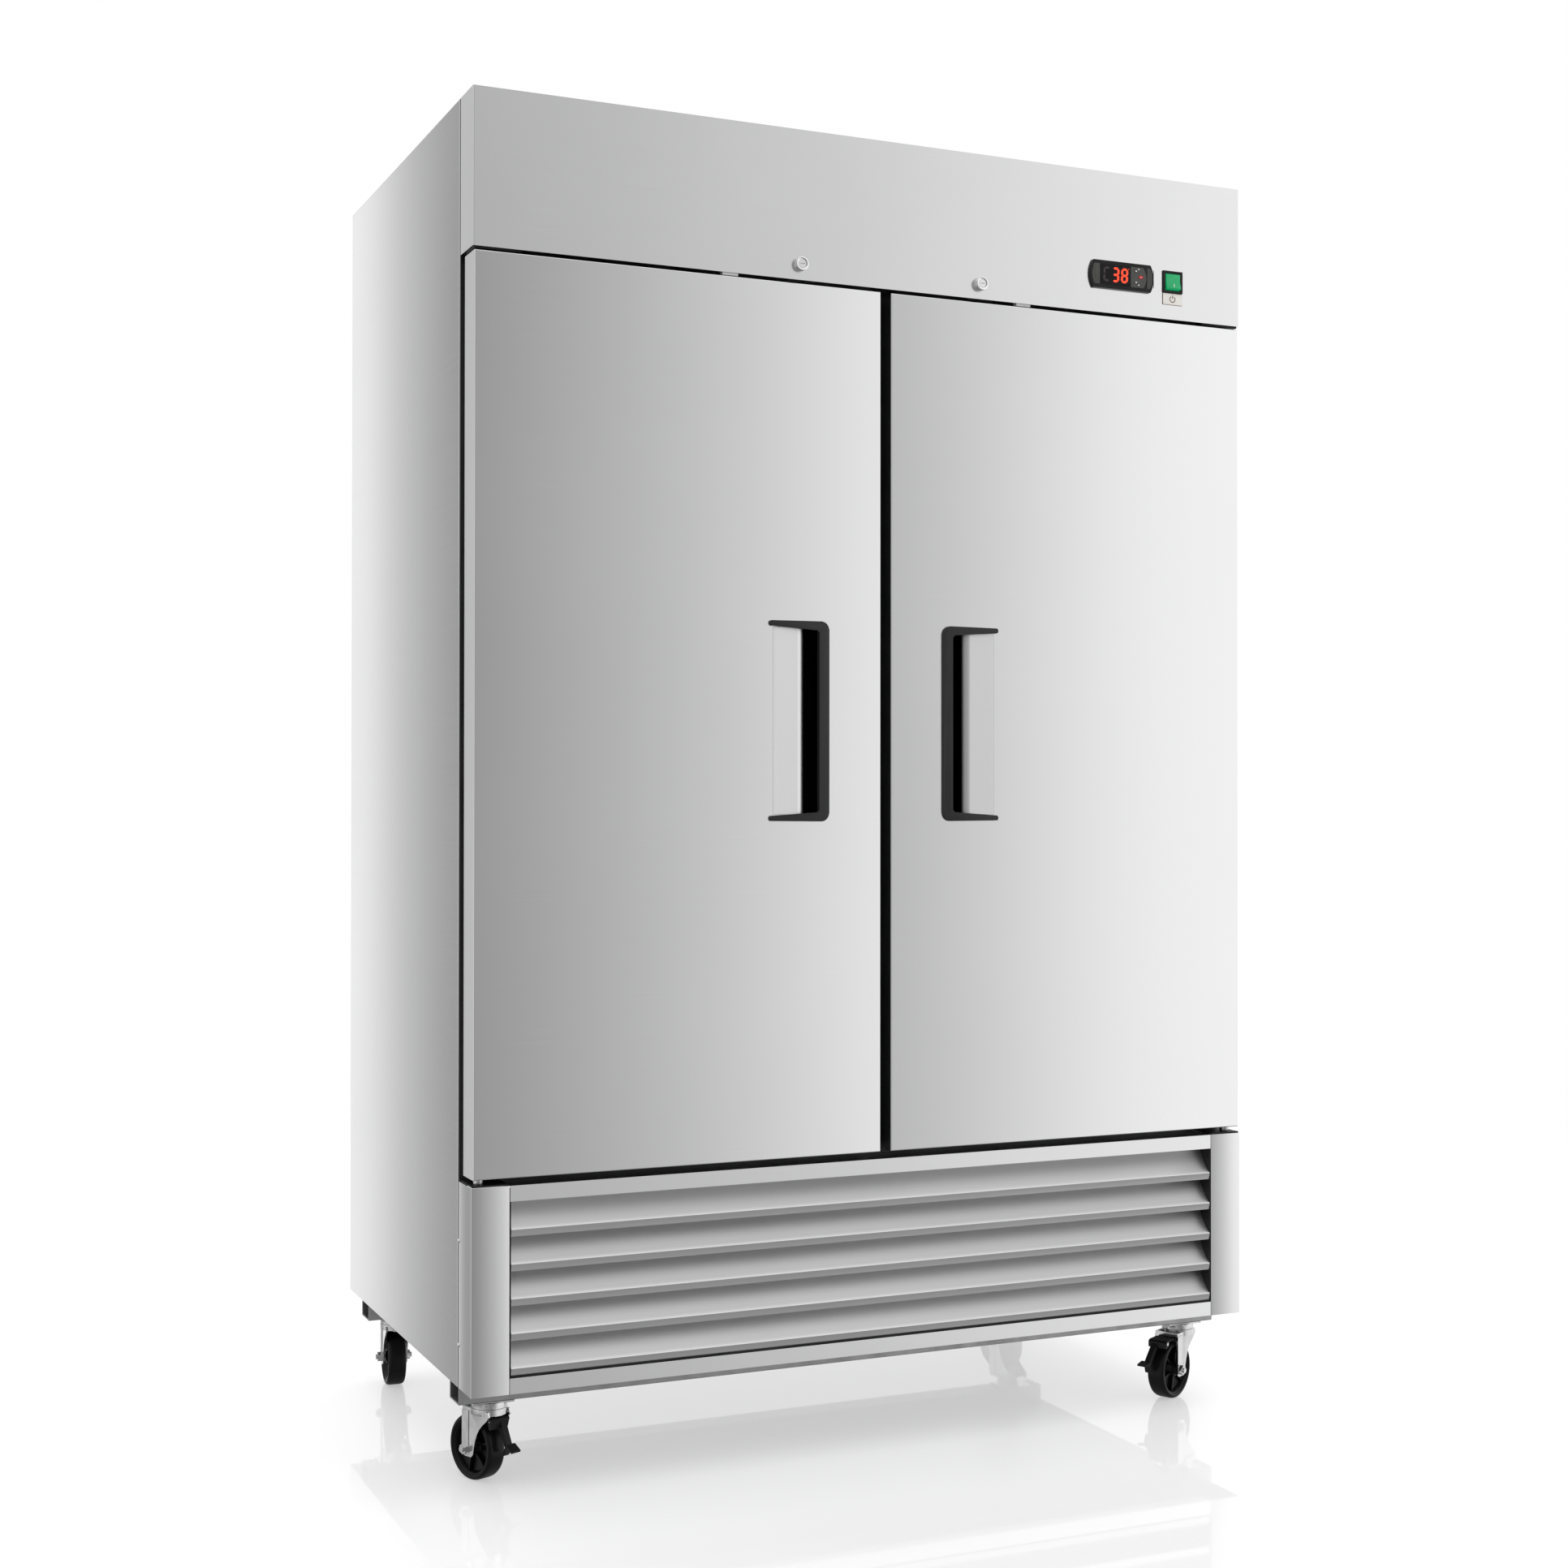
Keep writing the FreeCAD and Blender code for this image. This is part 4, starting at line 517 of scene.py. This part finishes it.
def handle(name, side):
    """The black C-shaped frame, and the deeper grip bar behind its upright."""
    low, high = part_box(f"door_{name}_handle")
    tip = max(abs(low.x), abs(high.x))
    bar = min(abs(low.x), abs(high.x))
    grip = bar + GRIP_WIDTH
    bottom, top = low.z, high.z
    front = low.y
    points = [(tip, top - 1.0 * MM), (bar, top), (bar, bottom), (tip, bottom + 1.0 * MM),
              (tip, bottom + ARM_TIP), (grip, bottom + ARM_ROOT), (grip, top - ARM_ROOT),
              (tip, top - ARM_TIP)]
    radii = [TIP_RADIUS, CORNER_RADIUS, CORNER_RADIUS, TIP_RADIUS, TIP_RADIUS, 3.0 * MM, 3.0 * MM, TIP_RADIUS]
    outline = [(side * x, z) for x, z in cornered(points, radii)]
    bm = bmesh.new()
    plate(bm, outline, front, front + FRAME_THICKNESS, 1.5 * MM)
    behind, inset = front + 4.0 * MM, bar + GRIP_INSET
    depth = [(grip, behind), (inset, behind), (inset, high.y), (grip, high.y)]
    section = cornered(depth, [0.6 * MM, 0.6 * MM, 2.5 * MM, 3.0 * MM], 4)
    skinned(bm, [[(side * x, y, z) for x, y in section] for z in (bottom + GRIP_END, top - GRIP_END)])
    finished(f"door_{name}_handle_moulded", bm, f"door_{name}", "handle_black",
             replaces=(f"door_{name}_handle",))


GASKET_PROFILE = [  # (inwards from the outer edge, back from the door), in mm, as an outline
    (0.0, 0.0), (20.0, 0.0), (20.0, 1.8), (14.0, 1.8), (13.2, 3.2), (16.6, 5.0), (17.2, 6.2), (14.4, 7.4),
    (17.4, 8.6), (18.2, 9.6), (18.2, 13.0), (17.2, 14.2), (2.8, 14.2), (1.8, 13.0), (1.8, 9.6), (2.6, 8.6),
    (5.6, 7.4), (2.8, 6.2), (3.4, 5.0), (6.8, 3.2), (6.0, 1.8), (0.0, 1.8)]


def gasket(name):
    """A bellows gasket run round the door, mitred at its corners."""
    low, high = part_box(f"door_{name}_gasket")
    bm = bmesh.new()
    loops = []
    for x, across, z, up in ((low.x, 1, low.z, 1), (high.x, -1, low.z, 1), (high.x, -1, high.z, -1),
                             (low.x, 1, high.z, -1)):
        loops.append([(x + across * inwards * MM, low.y + back * MM, z + up * inwards * MM)
                      for inwards, back in GASKET_PROFILE])
    skinned(bm, loops + [loops[0]], caps=False)
    bmesh.ops.remove_doubles(bm, verts=bm.verts, dist=1e-7)
    finished(f"door_{name}_gasket_bellows", bm, f"door_{name}", "gasket_rubber",
             replaces=(f"door_{name}_gasket",), sharp=50.0)


# ---------------------------------------------------------------- casters
WHEEL_SIDE = [  # (distance from the middle, radius) from the hub out to the tread, in mm
    (15.5, 4.1), (15.5, 8.6), (14.6, 9.4), (13.6, 9.6), (13.0, 12.4), (6.0, 14.4), (4.4, 16.0), (4.0, 20.0),
    (4.0, 35.0), (4.8, 37.2), (11.6, 39.6), (13.0, 40.6), (13.6, 42.0), (15.2, 42.6), (15.9, 43.6),
    (16.0, 45.6), (15.6, 47.4), (14.2, 49.2), (11.8, 50.3), (8.6, 50.75), (0.5, 50.8)]
WHEEL_POINTS = 96
RIB_COUNT = 6
RIB_TURN = 12.0  # degrees, of the first rib


def joint(name):
    """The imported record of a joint."""
    return next(item for item in frame["joints"] if item["name"] == name)


def caster_wheel(ending):
    """Rounded tread, recessed web with ribs, and a stepped hub."""
    roll = joint(f"caster_{ending}_roll")
    profile = WHEEL_SIDE + [(-along, out) for along, out in reversed(WHEEL_SIDE)]
    bm = bmesh.new()
    turned(bm, [(along * MM, out * MM) for along, out in profile], WHEEL_POINTS)
    for number in range(RIB_COUNT):
        turn = Matrix.Rotation(math.radians(360.0 / RIB_COUNT * number + RIB_TURN), 4, "X")
        for face in (-1, 1):
            before = len(bm.verts)
            start, end = sorted((face * 3.0 * MM, face * 10.5 * MM))
            box_part(bm, (start, -1.7 * MM, 12.0 * MM), (end, 1.7 * MM, 38.6 * MM), 0.8 * MM)
            bm.verts.ensure_lookup_table()
            bmesh.ops.transform(bm, matrix=turn, verts=bm.verts[before:])
    heading = math.atan2(roll["axis"][1], roll["axis"][0])
    bm.transform(Matrix.Translation(roll["pos_m"]) @ Matrix.Rotation(heading, 4, "Z"))
    finished(f"caster_wheel_{ending}_turned", bm, roll["child"], "wheel_black",
             replaces=(f"caster_wheel_{ending}",))


# ---------------------------------------------------------------- controls and locks
HEADER_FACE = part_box("header_panel")[0].y
LOCK_RING = [  # (distance back, radius) round the lock's ring, in mm
    (31.0, 7.16), (31.0, 9.2), (9.2, 9.2), (9.0, 11.5), (1.5, 11.5), (0.5, 11.1), (0.0, 10.3), (0.0, 9.4),
    (0.7, 8.5), (0.9, 7.16), (31.0, 7.16)]
PLUG_RADIUS, PLUG_FACE = 7.1 * MM, 6.7 * MM  # radii of the plug and of its flat face
PLUG_CHAMFER = 0.5 * MM
KEYWAY_REACH, KEYWAY_DEPTH = 4.3 * MM, 4.5 * MM
CAM_BACK, CAM_THICKNESS, CAM_HALF_HEIGHT = 29.0 * MM, 3.0 * MM, 4.5 * MM


def keyway(x, z):
    """A bow-tie outline: narrow in the middle, wider at both ends."""
    outline = []
    for across, up in disc(0.0, 0.0, 1.0):
        height = (0.5 + across * across) * MM
        outline.append((x + KEYWAY_REACH * across, z + height * up))
    return outline


def locks():
    """Stepped rings in the header, and the turning plugs with their keyways and cams."""
    rings = bmesh.new()
    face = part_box("lock_bodies")[0].y
    cam_back = HEADER_FACE + CAM_BACK
    for ending in ("left", "right"):
        turn = joint(f"lock_{ending}_turn")
        x, _, level = turn["pos_m"]
        loops = [upright(disc(x, level, radius * MM), face + back * MM) for back, radius in LOCK_RING]
        skinned(rings, loops, caps=False)
        low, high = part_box(f"lock_plug_{ending}")
        rim = disc(x, level, PLUG_RADIUS)
        outlines = [(rim, high.y), (rim, low.y + PLUG_CHAMFER), (disc(x, level, PLUG_FACE), low.y),
                    (keyway(x, level), low.y), (keyway(x, level), low.y + KEYWAY_DEPTH)]
        plug = bmesh.new()
        skinned(plug, [upright(outline, y) for outline, y in outlines])
        box_part(plug, (x, cam_back - CAM_THICKNESS, level - CAM_HALF_HEIGHT),
                 (high.x, cam_back, level + CAM_HALF_HEIGHT), 0.5 * MM)
        finished(f"lock_plug_{ending}_turned", plug, turn["child"], "lock_chrome",
                 replaces=(f"lock_plug_{ending}",))
    bmesh.ops.remove_doubles(rings, verts=rings.verts, dist=1e-7)
    finished("lock_rings", rings, "cabinet", "lock_chrome", replaces=("lock_bodies",))


def bowed(x, z, half, height, bow):
    """An outline straight above and below, with ends that bow out."""
    steps = 16
    radius = (height * height + bow * bow) / (2.0 * bow)
    sweep = math.asin(min(height / radius, 1.0))
    outline = []
    for side in (1, -1):
        centre = x + side * (half + bow - radius)
        for step in range(steps + 1):
            angle = -sweep + 2.0 * sweep * step / steps
            outline.append((centre + side * radius * math.cos(angle), z + side * radius * math.sin(angle)))
    return outline


# Each segment of a digit: its place across and up, and whether it lies flat.
SEGMENTS = {"top": (0.0, 1.0, True), "middle": (0.0, 0.0, True), "bottom": (0.0, -1.0, True),
            "upper_left": (-1.0, 0.5, False), "upper_right": (1.0, 0.5, False),
            "lower_left": (-1.0, -0.5, False), "lower_right": (1.0, -0.5, False)}
THREE = ("top", "middle", "bottom", "upper_right", "lower_right")
EIGHT = tuple(SEGMENTS)
UNLIT = ("upper_left", "lower_left", "top", "bottom")
DIGIT_HALF_WIDTH, DIGIT_HALF_HEIGHT, DIGIT_STROKE = 5.0 * MM, 5.4 * MM, 1.9 * MM
DIGIT_GAP = 0.35 * MM
DIGIT_SLANT = 0.05


def digit(bm, x, z, lit, front, back):
    """Seven-segment digit: six-sided bars with pointed ends."""
    stroke = DIGIT_STROKE
    for name in lit:
        across, up, flat = SEGMENTS[name]
        middle_x, middle_z = x + across * DIGIT_HALF_WIDTH, z + up * 2.0 * DIGIT_HALF_HEIGHT
        reach = (DIGIT_HALF_WIDTH if flat else DIGIT_HALF_HEIGHT) - DIGIT_GAP
        outline = [(reach, 0.0), (reach - stroke, stroke), (stroke - reach, stroke), (-reach, 0.0),
                   (stroke - reach, -stroke), (reach - stroke, -stroke)]
        placed = []
        for along, out in outline:
            dx, dz = (along, out) if flat else (out, along)
            placed.append((middle_x + dx + (middle_z + dz - z) * DIGIT_SLANT, middle_z + dz))
        plate(bm, placed, front, back)


def cut_with(piece, cutters):
    """Take cutters out of a piece's mesh, and remove them."""
    for cutter in cutters:
        boolean = piece.modifiers.new("opening", "BOOLEAN")
        boolean.operation = "DIFFERENCE"
        boolean.solver = "EXACT"
        boolean.object = cutter
    graph = bpy.context.evaluated_depsgraph_get()
    mesh = bpy.data.meshes.new_from_object(piece.evaluated_get(graph))
    piece.modifiers.clear()
    piece.data = mesh
    mesh.shade_smooth()
    mesh.set_sharp_from_angle(angle=math.radians(SHARP_ANGLE))
    for cutter in cutters:
        bpy.data.objects.remove(cutter)


CONTROLLER_HALF = 17.5 * MM  # half the height of the controller's face
RIDGE_COUNT, RIDGE_PITCH = 4, 3.2  # the pitch in mm
KEY_ROUNDING = 0.98  # a key's corner radius, as a share of half its height


def middle_and_half(node):
    """A node's middle and half size, in X and in Z."""
    low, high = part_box(node)
    return (low.x + high.x) / 2.0, (low.z + high.z) / 2.0, (high.x - low.x) / 2.0, (high.z - low.z) / 2.0


def controller_end(name, side, x, z, face):
    """One bowed end with its four upright ridges."""
    inner = 45.0 if side < 0 else 50.0
    edge = x + side * inner * MM
    around = bowed(x, z, 55.2 * MM, CONTROLLER_HALF, 5.0 * MM)
    arc = [point for point in around if (point[0] - x) * side > 0]
    outline = arc + [(edge, z + side * CONTROLLER_HALF), (edge, z - side * CONTROLLER_HALF)]
    bm = bmesh.new()
    plate(bm, outline, face - 0.35 * MM, face + 0.5 * MM, 0.2 * MM, 1)
    for number in range(RIDGE_COUNT):
        middle = x + side * (inner + 3.0 + RIDGE_PITCH * number) * MM
        shorter = 0.4 * MM * number
        box_part(bm, (middle - 0.5 * MM, face - 0.6 * MM, z - 16.5 * MM + shorter),
                 (middle + 0.5 * MM, face, z + 16.5 * MM - shorter), 0.2 * MM)
    finished(f"controller_end_{name}", bm, "cabinet", "controller_black", RIBBED)


def display(x, z, face):
    """The window, its lit digits and point, and the unlit digit."""
    bm = bmesh.new()
    window = oblong(x - 14.0 * MM, z, 30.0 * MM, CONTROLLER_HALF, 1.5 * MM)
    plate(bm, window, face - 0.25 * MM, face + 0.5 * MM, 0.2 * MM, 1)
    finished("controller_window", bm, "cabinet", "controller_black", GLASS)
    front, back, level = face - 0.4 * MM, face - 0.1 * MM, z + 0.4 * MM
    bm = bmesh.new()
    digit(bm, x - 13.4 * MM, level, THREE, front, back)
    digit(bm, x + 4.2 * MM, level, EIGHT, front, back)
    plate(bm, disc(x + 12.6 * MM, z + 12.4 * MM, 0.8 * MM, 16), front, back)
    finished("display_digits", bm, "cabinet", "controller_black", DIGIT_RED)
    bm = bmesh.new()
    digit(bm, x - 31.0 * MM, level, UNLIT, front + 0.1 * MM, back)
    finished("display_unlit", bm, "cabinet", "controller_black", DIGIT_OFF)


def key_opening(x, z, half_x, half_z, face):
    """A cutter a little larger than a key, through the keypad."""
    grown = 0.12 * MM
    bm = bmesh.new()
    outline = oblong(x, z, half_x + grown, half_z + grown, half_z * KEY_ROUNDING + grown)
    plate(bm, outline, face - 3.0 * MM, face + 3.0 * MM)
    mesh = bpy.data.meshes.new("cutter")
    bmesh.ops.recalc_face_normals(bm, faces=bm.faces)
    bm.to_mesh(mesh)
    bm.free()
    cutter = bpy.data.objects.new("cutter", mesh)
    SCENE.collection.objects.link(cutter)
    return cutter


def moulded_key(key, x, z, half_x, half_z):
    """A key with its printed mark: a dash to set, and an arrow up or down."""
    low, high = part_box(f"button_{key}")
    bm = bmesh.new()
    plate(bm, oblong(x, z, half_x, half_z, half_z * KEY_ROUNDING), low.y - 0.3 * MM, high.y, 0.45 * MM)
    finished(f"button_{key}_moulded", bm, f"button_{key}", "key_red" if key == "set" else "key_grey",
             replaces=(f"button_{key}",))
    if key == "set":
        outline = oblong(x, z, 1.5 * MM, 0.5 * MM, 0.45 * MM)
    else:
        up = 1.0 if key == "up" else -1.0
        foot = z - up * 1.4 * MM
        outline = [(x - 1.9 * MM, foot), (x + 1.9 * MM, foot), (x, z + up * 1.7 * MM)]
    front = low.y - 0.42 * MM
    mark = bmesh.new()
    plate(mark, outline, front, front + 0.2 * MM)
    finished(f"button_{key}_mark", mark, f"button_{key}", "key_grey", MARK_WHITE)


def controller():
    """Ribbed ends, the display window with its digits, and the keypad with its keys and lamps."""
    x, z, _, _ = middle_and_half("temperature_controller")
    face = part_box("temperature_controller")[0].y
    for name, side in (("left", -1), ("right", 1)):
        controller_end(name, side, x, z, face)
    display(x, z, face)

    bm = bmesh.new()
    arc = [point for point in bowed(x, z, 42.0 * MM, CONTROLLER_HALF, 6.0 * MM) if point[0] > x]
    inner = x + 17.0 * MM
    plate(bm, arc + [(inner, z + CONTROLLER_HALF), (inner, z - CONTROLLER_HALF)],
          face - 0.3 * MM, face + 0.8 * MM, 0.2 * MM, 1)
    keypad = finished("controller_keypad", bm, "cabinet", "controller_black", RIBBED)
    cutters = []
    for key in ("up", "down", "set"):
        place = middle_and_half(f"button_{key}")
        cutters.append(key_opening(*place, face))
        moulded_key(key, *place)
    bpy.context.view_layer.update()
    cut_with(keypad, cutters)
    bm = bmesh.new()
    for lamp_z in (14.4, -12.6):
        plate(bm, disc(x + 32.8 * MM, z + lamp_z * MM, 1.2 * MM, 16), face - 0.42 * MM, face - 0.2 * MM)
    finished("keypad_lamps", bm, "cabinet", "controller_black", MARK_WHITE)


LABEL_HALF_WIDTH, LABEL_TOP, LABEL_BOTTOM, LABEL_RIM = 20.0 * MM, 0.4 * MM, 20.6 * MM, 0.6 * MM
SYMBOL_START, SYMBOL_SWEEP, SYMBOL_STEPS = 125.0, 290.0, 24  # the open ring, in degrees and steps
SYMBOL_INNER, SYMBOL_OUTER = 4.4, 5.9  # radii of the ring, in mm


def power_switch():
    """Green rocker with its line mark, and the plate below it with a generic power symbol."""
    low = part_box("power_rocker")[0]
    x, z, _, _ = middle_and_half("power_rocker")
    softened("power_rocker", 0.9, 3)
    bm = bmesh.new()
    half_stroke, half_line, lower = 0.6 * MM, 2.6 * MM, z - 7.0 * MM
    box_part(bm, (x - half_stroke, low.y - 0.02 * MM, lower - half_line),
             (x + half_stroke, low.y + 0.6 * MM, lower + half_line))
    finished("rocker_line", bm, "power_rocker", "switch_green", MARK_WHITE)

    bezel_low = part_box("power_switch_bezel")[0]
    top, bottom = bezel_low.z - LABEL_TOP, bezel_low.z - LABEL_BOTTOM
    middle, half_height = (top + bottom) / 2.0, (top - bottom) / 2.0
    sunk = HEADER_FACE + 0.2 * MM
    bm = bmesh.new()
    plate(bm, oblong(x, middle, LABEL_HALF_WIDTH, half_height, 1.2 * MM), HEADER_FACE - 0.7 * MM, sunk)
    finished("switch_label_edge", bm, "cabinet", "switch_black", MARK_BROWN)
    bm = bmesh.new()
    half_width = LABEL_HALF_WIDTH - LABEL_RIM
    face = oblong(x + LABEL_RIM / 2.0, middle, half_width, half_height - LABEL_RIM, 1.0 * MM)
    plate(bm, face, HEADER_FACE - 1.0 * MM, sunk, 0.3 * MM)
    finished("switch_label", bm, "cabinet", "switch_black", LABEL_CREAM)
    bm = bmesh.new()
    front, behind = HEADER_FACE - 1.15 * MM, HEADER_FACE - 0.9 * MM
    section = ((SYMBOL_INNER, front), (SYMBOL_OUTER, front), (SYMBOL_OUTER, behind), (SYMBOL_INNER, behind))
    loops = []
    for step in range(SYMBOL_STEPS + 1):
        angle = math.radians(SYMBOL_START + SYMBOL_SWEEP * step / SYMBOL_STEPS)
        spoke = Vector((math.cos(angle), math.sin(angle)))
        loops.append([(x + spoke.x * radius * MM, y, middle + spoke.y * radius * MM)
                      for radius, y in section])
    skinned(bm, loops)
    box_part(bm, (x - 0.75 * MM, front, middle + 0.8 * MM), (x + 0.75 * MM, behind, middle + 6.8 * MM))
    finished("switch_label_mark", bm, "cabinet", "switch_black", MARK_BROWN)


SCREW_RINGS, SCREW_POINTS = 9, 32
CROSS_HALF_WIDTH, CROSS_REACH, CROSS_DEPTH = 0.42 * MM, 2.1 * MM, 0.7 * MM


def screws():
    """Domed cross-head screws in the side returns."""
    low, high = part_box("panel_screws")
    reach = (high.y - low.y) / 2.0
    middle_y = (low.y + high.y) / 2.0
    side_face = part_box("corner_posts")[1].x
    proud = high.x - side_face - 0.05 * MM
    bm = bmesh.new()
    for side in (-1, 1):
        for level in (low.z + reach, high.z - reach):
            loops = []
            for ring in range(SCREW_RINGS + 1):
                radius = reach * max(ring / SCREW_RINGS, 0.02)
                loop = []
                for y, z in disc(0.0, 0.0, radius, SCREW_POINTS):
                    stand = proud * (1.0 - 0.92 * (radius / reach) ** 2)
                    if min(abs(y), abs(z)) < CROSS_HALF_WIDTH and radius < CROSS_REACH:
                        stand -= CROSS_DEPTH
                    loop.append((side * (side_face + stand), middle_y + y, level + z))
                loops.append(loop)
            loops.append([(side * (side_face - 0.2 * MM), y, z) for _, y, z in loops[-1]])
            skinned(bm, loops)
    finished("panel_screws_domed", bm, "cabinet", "screw_steel", replaces=("panel_screws",))


# ---------------------------------------------------------------- studio
WORLD_STRENGTH = 1.25
OVERHEAD_LEVEL, GROUND_LEVEL = 0.85, 0.22  # shares of the strength, straight above and below
WORLD_STOPS = [  # degrees right of the front direction, brightness near the horizon
    (-180.0, 1.1), (-172.0, 1.05), (-166.0, 0.66), (-157.0, 0.33), (-140.0, 0.5), (-100.0, 0.9),
    (-60.0, 0.7), (-30.0, 0.4), (-5.0, 0.28), (4.0, 0.30), (9.0, 0.38), (16.0, 0.54), (20.0, 0.62),
    (26.5, 0.78), (33.5, 1.04), (38.0, 1.14), (60.0, 1.2), (110.0, 1.05), (150.0, 1.0), (180.0, 1.0)]


def studio_world():
    """Soft grey surroundings to reflect, over a white background that only the camera sees."""
    world = bpy.data.worlds.new("studio")
    SCENE.world = world
    world.use_nodes = True
    tree = world.node_tree
    tree.nodes.clear()

    def made(kind, **settings):
        item = tree.nodes.new("ShaderNode" + kind)
        for key, value in settings.items():
            setattr(item, key, value)
        return item

    direction = made("SeparateXYZ")
    tree.links.new(made("TexCoord").outputs["Generated"], direction.inputs[0])
    front = made("Math", operation="MULTIPLY")
    tree.links.new(direction.outputs["Y"], front.inputs[0])
    front.inputs[1].default_value = -1.0
    azimuth = made("Math", operation="ARCTAN2")
    tree.links.new(direction.outputs["X"], azimuth.inputs[0])
    tree.links.new(front.outputs[0], azimuth.inputs[1])
    share = made("MapRange")
    tree.links.new(azimuth.outputs[0], share.inputs["Value"])
    share.inputs["From Min"].default_value = -math.pi
    share.inputs["From Max"].default_value = math.pi
    around = made("ValToRGB")
    tree.links.new(share.outputs[0], around.inputs[0])
    elements = around.color_ramp.elements
    while len(elements) < len(WORLD_STOPS):
        elements.new(0.5)
    for element, (degrees, value) in zip(elements, WORLD_STOPS):
        element.position = (degrees + 180.0) / 360.0
        level = value / WORLD_STRENGTH
        element.color = (level, level, level, 1.0)
    overhead = made("MapRange")
    tree.links.new(direction.outputs["Z"], overhead.inputs["Value"])
    overhead.inputs["From Min"].default_value = 0.35
    overhead.inputs["From Max"].default_value = 0.8
    blend = made("MixRGB")
    tree.links.new(overhead.outputs[0], blend.inputs[0])
    tree.links.new(around.outputs[0], blend.inputs[1])
    blend.inputs[2].default_value = (OVERHEAD_LEVEL, OVERHEAD_LEVEL, OVERHEAD_LEVEL, 1.0)
    below = made("MapRange")
    tree.links.new(direction.outputs["Z"], below.inputs["Value"])
    below.inputs["From Min"].default_value = -0.24
    below.inputs["From Max"].default_value = -0.5
    ground = made("MixRGB")
    tree.links.new(below.outputs[0], ground.inputs[0])
    tree.links.new(blend.outputs[0], ground.inputs[1])
    ground.inputs[2].default_value = (GROUND_LEVEL, GROUND_LEVEL, GROUND_LEVEL, 1.0)
    around_light = made("Background")
    around_light.inputs["Strength"].default_value = WORLD_STRENGTH
    tree.links.new(ground.outputs[0], around_light.inputs[0])
    white = made("Background")
    white.inputs["Color"].default_value = (1.0, 1.0, 1.0, 1.0)
    seen = made("MixShader")
    tree.links.new(made("LightPath").outputs["Is Camera Ray"], seen.inputs[0])
    tree.links.new(around_light.outputs[0], seen.inputs[1])
    tree.links.new(white.outputs[0], seen.inputs[2])
    output = made("OutputWorld")
    tree.links.new(seen.outputs[0], output.inputs[0])


def softbox(name, place, aim, width, height, power):
    """A rectangular lamp that shows neither itself nor its reflection."""
    light = bpy.data.lights.new(name, "AREA")
    light.shape = "RECTANGLE"
    light.size, light.size_y = width, height
    light.energy = power
    lamp = bpy.data.objects.new(name, light)
    lamp.location = place
    lamp.rotation_euler = (Vector(aim) - Vector(place)).to_track_quat("-Z", "Y").to_euler()
    lamp.visible_camera = False
    lamp.visible_glossy = False
    SCENE.collection.objects.link(lamp)


FLOOR_RADIUS = 4.5
FADE_START, FADE_END = 2.6, 4.2


def floor():
    """A wide glossy disc that fades out before its edge."""
    finish = Finish("studio_floor", Coat_Weight=0.7, Coat_Roughness=0.03, Roughness=0.6,
                    Emission_Strength=0.57, Emission_Color=(1.0, 1.0, 1.0, 1.0))
    cloud = finish.noise(finish.place(), 3.0, 2.0)
    finish.into("Base Color", finish.shade(cloud, [(0.2, (0.44, 0.44, 0.44)), (0.8, (0.45, 0.45, 0.45))]))
    x, y = finish.axis("X"), finish.axis("Y")
    square = finish.maths("ADD", finish.maths("MULTIPLY", x, x), finish.maths("MULTIPLY", y, y))
    away = finish.maths("SQRT", square)
    finish.into("Alpha", finish.spread(away, 1.0, 0.0, FADE_START, FADE_END))
    bm = bmesh.new()
    bmesh.ops.create_circle(bm, cap_ends=True, segments=128, radius=FLOOR_RADIUS)
    mesh = bpy.data.meshes.new("studio_floor")
    bm.to_mesh(mesh)
    bm.free()
    mesh.materials.append(finish.material)
    ground = bpy.data.objects.new("studio_floor", mesh)
    ground.visible_glossy = False
    SCENE.collection.objects.link(ground)


CAMERA_LENS = 50.096  # mm, on a sensor 36 mm wide
CAMERA_PLACE = (-1.58567, -3.56966, 1.05045)
CAMERA_TURN = (90.485, -0.04, -23.894)  # degrees


def camera():
    """The photograph's viewpoint, solved from the cabinet's straight edges."""
    data = bpy.data.cameras.new("view")
    data.lens = CAMERA_LENS
    data.sensor_width = 36.0
    viewer = bpy.data.objects.new("view", data)
    viewer.location = CAMERA_PLACE
    viewer.rotation_euler = [math.radians(angle) for angle in CAMERA_TURN]
    SCENE.collection.objects.link(viewer)
    SCENE.camera = viewer


def studio():
    """The surroundings, the lamp, the floor and the camera."""
    studio_world()
    softbox("overhead", (0.0, -0.2, 4.2), (0.0, 0.0, 0.0), 5.0, 5.0, 90.0)
    floor()
    camera()
    SCENE.view_settings.view_transform = "Standard"
    SCENE.view_settings.look = "None"


studio()
dress_nodes()
blades()
for door, door_side in (("left", -1), ("right", 1)):
    handle(door, door_side)
    gasket(door)
for corner in CORNERS:
    caster_wheel(corner)
locks()
controller()
power_switch()
screws()
